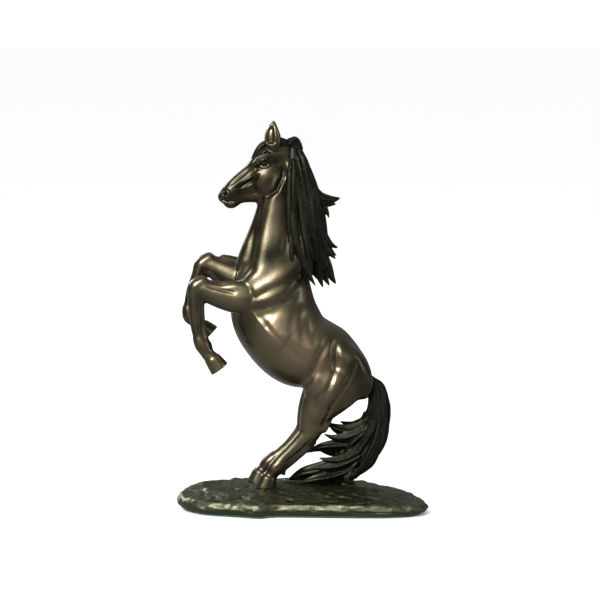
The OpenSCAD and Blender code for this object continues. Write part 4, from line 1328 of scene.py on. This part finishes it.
@dataclass
class Tail:
    """The tail: a full S-shaped fall from the dock to the rock, with locks that lick forward."""

    grain: float = 0.46
    fall: Rows = (
        (44, 0, 97, 4.6, 5), (50, 0, 96, 5.4, 5.4), (55.4, 0, 90.6, 6.8, 6.2),
        (57.4, 0, 82, 7.8, 7), (56.6, 0, 71, 8.8, 7.6), (53.4, 0, 60, 10.8, 8.6),
        (47.6, 0, 49, 13, 9.6), (39.6, 0, 38, 14, 10.4), (31, 0, 28.6, 12.4, 11),
        (24, 0, 21, 8.6, 10))
    licks: tuple[Rows, ...] = (
        ((54, -2, 66, 6, 5), (44, -3, 60.4, 6, 4.6), (34, -3.6, 58.6, 5, 4),
         (26, -4, 60.4, 3.4, 3), (19, -4, 64.6, 0.7, 0.7)),
        ((54, 2, 70, 4, 4), (46, 3, 64.4, 3.6, 3.4), (38, 4, 61.8, 2.8, 2.6),
         (29, 4.6, 64, 0.6, 0.6)),
        ((46, -5, 60, 4, 3.4), (37, -6.4, 55.6, 3.8, 3), (29, -7, 53.6, 3.2, 2.4),
         (21.4, -7, 54.4, 1.6, 1.4), (16.6, -7, 56.6, 0.5, 0.5)),
        ((48, -1, 54, 5.6, 4.6), (36, -3, 49, 5.8, 4.2), (25, -4, 47.4, 4.6, 3.6),
         (14, -4.6, 46, 3, 2.6), (3, -5, 42, 0.6, 0.6)),
        ((44, 3, 46, 4.6, 4.4), (32, 4, 41.6, 4, 3.6), (21, 4.6, 41, 2.8, 2.6),
         (10, 5, 44, 0.6, 0.6)),
        ((42, -6, 44, 4.4, 4), (32, -8.4, 38.6, 4, 3.4), (22, -9.6, 37, 2.6, 2.4),
         (13, -10, 38.6, 0.6, 0.6)),
        ((40, 2, 36, 6, 5.4), (26, 2.6, 30.4, 6.6, 5), (13, 3, 27, 6.2, 4.6),
         (1, 3, 24.2, 4.8, 3.8), (-9.6, 3, 20.2, 1, 1)),
        ((38, -4, 31, 5.4, 5), (24, -6, 25.4, 5, 4.8), (11, -8, 22.4, 4, 4),
         (0, -9.4, 20.2, 1, 1.2)),
        ((38, 7, 31, 5, 4.8), (28, 9, 24.6, 4.4, 4.4), (18, 11, 21.4, 3.2, 3.2),
         (8, 12, 19.2, 0.8, 1)),
        ((42, -6, 40, 4.2, 4), (31, -8.4, 34.4, 3.8, 3.4), (20, -9.6, 31.6, 3, 2.4),
         (6, -10, 31.4, 0.6, 0.6)),
        ((57, -3, 62, 3, 3), (59, -3.6, 52, 2.4, 2.4), (57, -3.8, 45, 1.2, 1.2),
         (59, -3.8, 40.4, 0.5, 0.5)),
        ((50, 4, 48, 3, 3), (45, 5, 36, 2.8, 2.8), (39, 5.6, 27, 2.2, 2.2),
         (41.6, 6, 20.4, 0.6, 0.8)),
        ((36, -6, 28, 3.4, 3.6), (34, -8, 21.6, 2.8, 3), (40, -9, 18.6, 0.8, 1)))

    def build(self) -> Piece:
        """Make the tail as one casting."""
        hand = np.random.default_rng(77)
        parts = [mass(thinned(self.fall, 0.78), 28, 36)]
        for bundle in (
                HairBundle(self.fall, 18, 0.26, 0.8, (0.0, 0.08), (0.85, 1.0), 0.8),
                HairBundle(self.fall, 13, 0.2, 1.0, (0.12, 0.45), (0.7, 1.0), 0.98)):
            parts += bundle.build(hand)
        parts += [mass(rows, 30, 40, 5, 0.14) for rows in self.licks]
        return cast_hair(parts, self.fall, self.grain, "tail")


# The rock


@dataclass
class RockBase:
    """The hollow rock that the horse stands on.

    Attributes:
        corners: Corners of the outline, seen from above.
        length: Length of the rock.
        depth: Depth of the rock.
        rim: Height of the rim.
        mound: Height of the top under the horse.
        foot: Height of the underside.
        wall: Thickness of the bronze.
        wall_span: Mean half depth, by which the wall is turned into a share of the outline.
        stones: Stones that stand out of the top: x, y, rise, reach.
        seats: Places kept flatter under the hooves and the tail: x, y, reach.
        round_steps: How many points go round the outline.
    """

    corners: tuple[Point2, ...] = (
        (94.5, -30), (90, -6), (76, 20), (52, 39), (20, 49), (-20, 53), (-48, 51), (-76, 42),
        (-90, 22), (-94.5, -1), (-92, -21), (-76, -38), (-52, -46.5), (-33, -53), (-19, -48),
        (25, -50), (60, -51), (84, -46))
    length: float = 189.0
    depth: float = 106.0
    rim: float = 8.5
    mound: float = 18.0
    foot: float = 1.5
    wall: float = 3.6
    wall_span: float = 52.0
    stones: tuple[Spot, ...] = (
        (-36, -36, 3, 11), (-56, -30, 2.2, 9), (-12, -36, 2, 8), (-70, -10, 2.4, 10),
        (58, -34, 2.4, 11), (46, 26, 2, 10), (-50, 30, 2.6, 12), (18, -37, 1.8, 7),
        (74, -12, 1.8, 8), (-74, 22, 2, 9), (6, 34, 1.6, 9))
    seats: tuple[tuple[float, float, float], ...] = ((-27.2, -13, 10), (-33.2, 13, 10), (30, 0, 18))
    round_steps: int = 288

    def outline(self) -> np.ndarray:
        """The rock's outline, fitted to its length and depth."""
        given = np.array(self.corners, float)
        n = len(given)
        share = np.arange(self.round_steps) / self.round_steps * n
        i = share.astype(int)
        t = (share - i)[:, None]
        a, b, c, d = (given[(i + k) % n] for k in (-1, 0, 1, 2))
        laid = 0.5 * (2 * b + (c - a) * t + (2 * a - 5 * b + 4 * c - d) * t**2
                      + (3 * b - a - 3 * c + d) * t**3)
        low, high = laid.min(axis=0), laid.max(axis=0)
        return (laid - (low + high) / 2) * np.array([self.length, self.depth]) / (high - low)

    def rim_top(self, p: np.ndarray) -> np.ndarray:
        """Height of the rim above the foot at points in plan."""
        return self.rim + 2.2 * (p[:, 1] - 0.6 * p[:, 0]) / self.depth

    def top(self, p: np.ndarray, share: float) -> np.ndarray:
        """Height of the rock's top at points a share of the way out to the outline."""
        rise = np.zeros(len(p))
        for x, y, height, reach in self.stones:
            rise += height * np.exp(-((np.hypot(p[:, 0] - x, p[:, 1] - y) / reach * 1.6) ** 2))
        low = self.foot + self.rim_top(p)
        return low + (self.mound - low) * (1 - share**2.6) + rise * (1 - max(1 - share, 0.0) ** 0.7)

    def profile(self) -> list[tuple[float, float, bool]]:
        """Rings from the inside of the crown, out under the rim and back over the top.

        Returns:
            For each ring its share of the outline, its share of the rim's height or -1 on the
            crown, and whether it is inside.
        """
        inner = [(s, -1.0, True) for s in np.linspace(0.02, 0.9, 12).tolist()]
        foot = [(0.945, 0.55, True), (0.945, 0.0, True)]
        rim = [(s, h, False) for s, h in (
            (0.945, 0.0), (0.96, 0.06), (0.975, 0.14), (0.987, 0.25), (0.995, 0.37), (1.0, 0.5),
            (0.998, 0.62), (0.992, 0.74), (0.984, 0.85))]
        crown = [0.97, 0.955, 0.94, *np.linspace(0.92, 0.02, 62).tolist()]
        return [*inner, *foot, *rim, *[(s, -1.0, False) for s in crown]]

    def build(self) -> Piece:
        """Make the rock from a ball whose rings are laid along the profile, then break it up."""
        rings = self.profile()
        last = len(rings) + 1
        put_down_tools()
        bpy.ops.mesh.primitive_uv_sphere_add(
            segments=self.round_steps, ring_count=last, radius=1.0)
        rock = bpy.context.object
        rename(rock, "rock")
        ball = points_of(rock) * MM
        index = np.rint(np.arccos(np.clip(-ball[:, 2], -1, 1)) / math.pi * last).astype(int)
        turn = np.arctan2(ball[:, 1], ball[:, 0])
        step = np.rint(turn / (2 * math.pi) * self.round_steps).astype(int) % self.round_steps
        edge = self.outline()
        points = np.zeros_like(ball)
        for ring, (share, height, inside) in enumerate(rings, start=1):
            here = np.flatnonzero(index == ring)
            rim = edge[step[here]]
            plan = rim * (share - (self.wall / self.wall_span if inside else 0.0))
            if height >= 0:
                z = self.foot + height * self.rim_top(rim)
            else:
                z = self.top(rim * share, share) - (self.wall if inside else 0.0)
            points[here] = np.column_stack([plan, z])
        points[index == 0] = (0.0, 0.0, self.mound - self.wall)
        points[index == last] = (0.0, 0.0, self.mound)
        set_points(rock, points)
        outside = index > sum(inside for *_, inside in rings)
        self.break_up(rock, outside)
        smooth_over(rock, 1, where=lambda p: outside * 1.0)
        mark_relief(rock, 1.1, 0.25)
        shade(rock, 65)
        return rock

    @staticmethod
    def chip(p: Vector) -> float:
        """How far the skin moves out at a point: ledges, cracks between stones, cells and grain."""
        q = Vector((p.x * 0.045, p.y * 0.075, p.z * 0.12))
        ledge = noise.noise(q + Vector((3.1, 0.7, 9.2)))
        warp = Vector((ledge, ledge * 0.6, 0.0)) * 0.9
        crack = math.exp(-((abs(noise.noise(q * 2.1 + warp)) / 0.07) ** 2))
        near, far = noise.voronoi(Vector((p.x * 0.1, p.y * 0.16, p.z * 0.12)) + warp)[0][:2]
        fine = noise.fractal(p * 0.34, 0.9, 2.1, 3)
        return 1.1 * ledge - 1.5 * crack + 1.5 * min(far - near, 0.5) - 0.6 + 0.35 * fine

    def break_up(self, rock: Piece, outside: np.ndarray) -> None:
        """Break the outer skin into ledges, chips and grain, inside the rock's own size."""
        points, normals = points_of(rock), normals_of(rock)
        moved = np.zeros(len(points))
        for i in np.flatnonzero(outside):
            moved[i] = self.chip(Vector(points[i]))
        hold = smooth_step(self.foot + 0.3, self.foot + 2.2, points[:, 2])
        flat = np.ones(len(points))
        for x, y, reach in self.seats:
            gap = np.hypot(points[:, 0] - x, points[:, 1] - y)
            flat = np.minimum(flat, 0.35 + 0.65 * smooth_step(reach * 0.7, reach * 1.3, gap))
        moved = np.minimum(moved, 0.9) * hold * flat
        points = points + normals * moved[:, None]
        half = np.array([self.length / 2, self.depth / 2])
        points[:, :2] = np.clip(points[:, :2], -half, half)
        set_points(rock, points)


# Fittings and studio


@dataclass
class Fittings:
    """The felt, board, pins, studs and nuts, which keep their own shapes and get their finishes."""

    brass: tuple[str, ...] = (
        "neck_joint_sleeve", "neck_joint_pins", "left_foreleg_pin", "right_foreleg_pin",
        "left_hindleg_pin", "right_hindleg_pin", "tail_root_pin", "mane_dowels")
    steel: tuple[str, ...] = (
        "left_hoof_stud", "right_hoof_stud", "tail_stud", "stud_washers", "stud_nuts",
        "board_screws")

    def dress(self, nodes: dict[str, Piece], plug: bpy.types.Material) -> None:
        """Give each fitting its finish.

        Args:
            nodes: The fixed parts by name.
            plug: The finish of the core hole plugs.
        """
        brass = PlainMetal("drawn_brass", (0.62, 0.43, 0.15), (0.4, 0.26, 0.09), 0.28).material()
        steel = PlainMetal("plated_steel", (0.62, 0.63, 0.66), (0.42, 0.43, 0.46), 0.3).material()
        finishes = {name: brass for name in self.brass} | {name: steel for name in self.steel}
        finishes |= {"felt_pad": WoolFelt().material(), "bottom_board": Hardboard().material()}
        finishes["core_hole_plugs"] = plug
        for name, finish in finishes.items():
            for slot in nodes[name].material_slots:
                slot.material = finish


@dataclass(frozen=True)
class SoftBox:
    """A soft box.

    Attributes:
        name: The lamp's name.
        place: Where it hangs, in metres.
        at: The point that it faces, in metres.
        wide: Its width in metres.
        high: Its height in metres.
        power: Its power in watts.
    """

    name: str
    place: Place
    at: Place
    wide: float
    high: float
    power: float

    def hang(self) -> None:
        """Hang the lamp."""
        put_down_tools()
        bpy.ops.object.light_add(type="AREA", location=self.place)
        lamp = bpy.context.object
        lamp.name = self.name
        lamp.data.shape = "RECTANGLE"
        lamp.data.size = self.wide
        lamp.data.size_y = self.high
        lamp.data.energy = self.power
        way = Vector(self.at) - Vector(self.place)
        lamp.rotation_euler = way.to_track_quat("-Z", "Y").to_euler()


@dataclass
class Studio:
    """Pale floor, soft lights and the camera.

    Attributes:
        lens: Focal length in millimetres on a 36 mm sensor.
        away: Distance from the camera to what it looks at.
        wall_light: How bright the walls are that the bronze mirrors.
        ceiling_light: How bright the ceiling is that it mirrors.
        white_light: How bright the room is otherwise.
        floor_light: How bright the floor is that the bronze mirrors.
        rise: How far the camera looks down, in degrees.
        aim: The point that it looks at.
        lamps: The soft boxes.
    """

    lens: float = 160.0
    wall_light: float = 0.055
    ceiling_light: float = 0.36
    white_light: float = 1.14
    floor_light: float = 0.16
    away: float = 2000.0
    rise: float = 6.4
    aim: Place = (-1.5, 0.0, 157.0)
    lamps: tuple[SoftBox, ...] = (
        SoftBox("key", (-0.62, -1.35, 0.95), (0, 0, 0.16), 0.62, 0.55, 31.0),
        SoftBox("fill", (0.3, -2.2, 0.9), (0, 0, 0.15), 1.6, 1.1, 3.5),
        SoftBox("side", (1.5, -0.6, 0.5), (0, 0, 0.15), 0.3, 0.8, 3.0),
        SoftBox("back", (-1.1, 1.2, 0.9), (0, 0, 0.15), 0.6, 0.7, 11.0))

    def build(self) -> None:
        """Set up the floor, the lights and the camera."""
        put_down_tools()
        bpy.ops.mesh.primitive_plane_add(size=40.0, location=(0, 0, 0))
        floor = bpy.context.object
        floor.name = "floor"
        desk = NodeDesk("pale_floor")
        mirrored_in = desk.add("ShaderNodeLightPath").outputs["Is Glossy Ray"]
        white, grey = (0.93, 0.93, 0.92), (self.floor_light,) * 3
        desk.give(Base_Color=desk.mix(mirrored_in, white, grey), Roughness=0.8)
        dress(floor, desk.material)
        world = bpy.data.worlds.new("studio")
        bpy.context.scene.world = world
        world.use_nodes = True
        self.light_room(world.node_tree)
        for lamp in self.lamps:
            lamp.hang()
        bpy.context.scene.view_settings.view_transform = "Standard"
        self.camera()

    def light_room(self, tree: bpy.types.NodeTree) -> None:
        """Light the room white, with the dimmer upper walls that polished bronze mirrors.

        Args:
            tree: The world's nodes.
        """
        ground = tree.nodes["Background"]
        where = tree.nodes.new("ShaderNodeTexCoord")
        split = tree.nodes.new("ShaderNodeSeparateXYZ")
        height = tree.nodes.new("ShaderNodeMapRange")
        for index, number in enumerate((-0.1, 0.9, self.wall_light, self.ceiling_light), start=1):
            height.inputs[index].default_value = number
        ray = tree.nodes.new("ShaderNodeLightPath")
        choose = tree.nodes.new("ShaderNodeMix")
        choose.inputs[2].default_value = self.white_light
        tree.links.new(where.outputs["Generated"], split.inputs[0])
        tree.links.new(split.outputs["Z"], height.inputs[0])
        tree.links.new(ray.outputs["Is Glossy Ray"], choose.inputs[0])
        tree.links.new(height.outputs[0], choose.inputs[3])
        tree.links.new(choose.outputs[0], ground.inputs["Strength"])
        ground.inputs["Color"].default_value = (0.97, 0.985, 1.0, 1.0)


    def camera(self) -> None:
        """Set up the camera."""
        angle = math.radians(self.rise)
        aim = Vector(self.aim) * MM
        place = aim + Vector((0, -math.cos(angle), math.sin(angle))) * self.away * MM
        put_down_tools()
        bpy.ops.object.camera_add(location=place)
        camera = bpy.context.object
        camera.rotation_euler = (aim - place).to_track_quat("-Z", "Y").to_euler()
        camera.data.lens = self.lens
        camera.data.sensor_width = 36.0
        bpy.context.scene.camera = camera


def stand_for(piece: Piece, node: str, finish: bpy.types.Material) -> None:
    """Dress a piece, put it in place of a fixed part and report it.

    Args:
        piece: The piece.
        node: The fixed part that it stands for.
        finish: The finish.
    """
    dress(piece, finish)
    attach(piece, "root")
    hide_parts(node)
    log.info("%s: %d points for %s", piece.name, len(piece.data.vertices), node)


def main() -> None:
    """Build the statue round the fixed frame."""
    logging.basicConfig(level=logging.INFO, format="%(name)s: %(message)s")
    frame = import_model()
    Studio().build()
    coat = PatinaBronze("coat_bronze").material()
    hair = PatinaBronze(
        "hair_bronze", hollow=(0.003, 0.003, 0.002), field=(0.018, 0.0175, 0.011),
        cloud=(0.013, 0.015, 0.009), rubbed=(0.062, 0.058, 0.040),
        rough=0.36, lacquer=0.14, chasing=0.04, hair=True).material()
    stone = PatinaBronze(
        "rock_bronze", hollow=(0.008, 0.009, 0.005), field=(0.106, 0.108, 0.054),
        cloud=(0.078, 0.088, 0.042), rubbed=(0.125, 0.13, 0.082),
        rough=0.38, lacquer=0.3, chasing=0.06, rock=True).material()
    sections = HorseFigure().build()
    for node, piece in sections.items():
        stand_for(piece, node, coat)
    stand_for(Mane().build(), "mane_casting", hair)
    stand_for(Tail().build(), "tail_casting", hair)
    stand_for(RockBase().build(), "base_casting", stone)
    plug = PatinaBronze("filled_bronze", worked=False).material()
    Fittings().dress(frame["nodes"], plug)


if __name__ == "__main__":
    main()
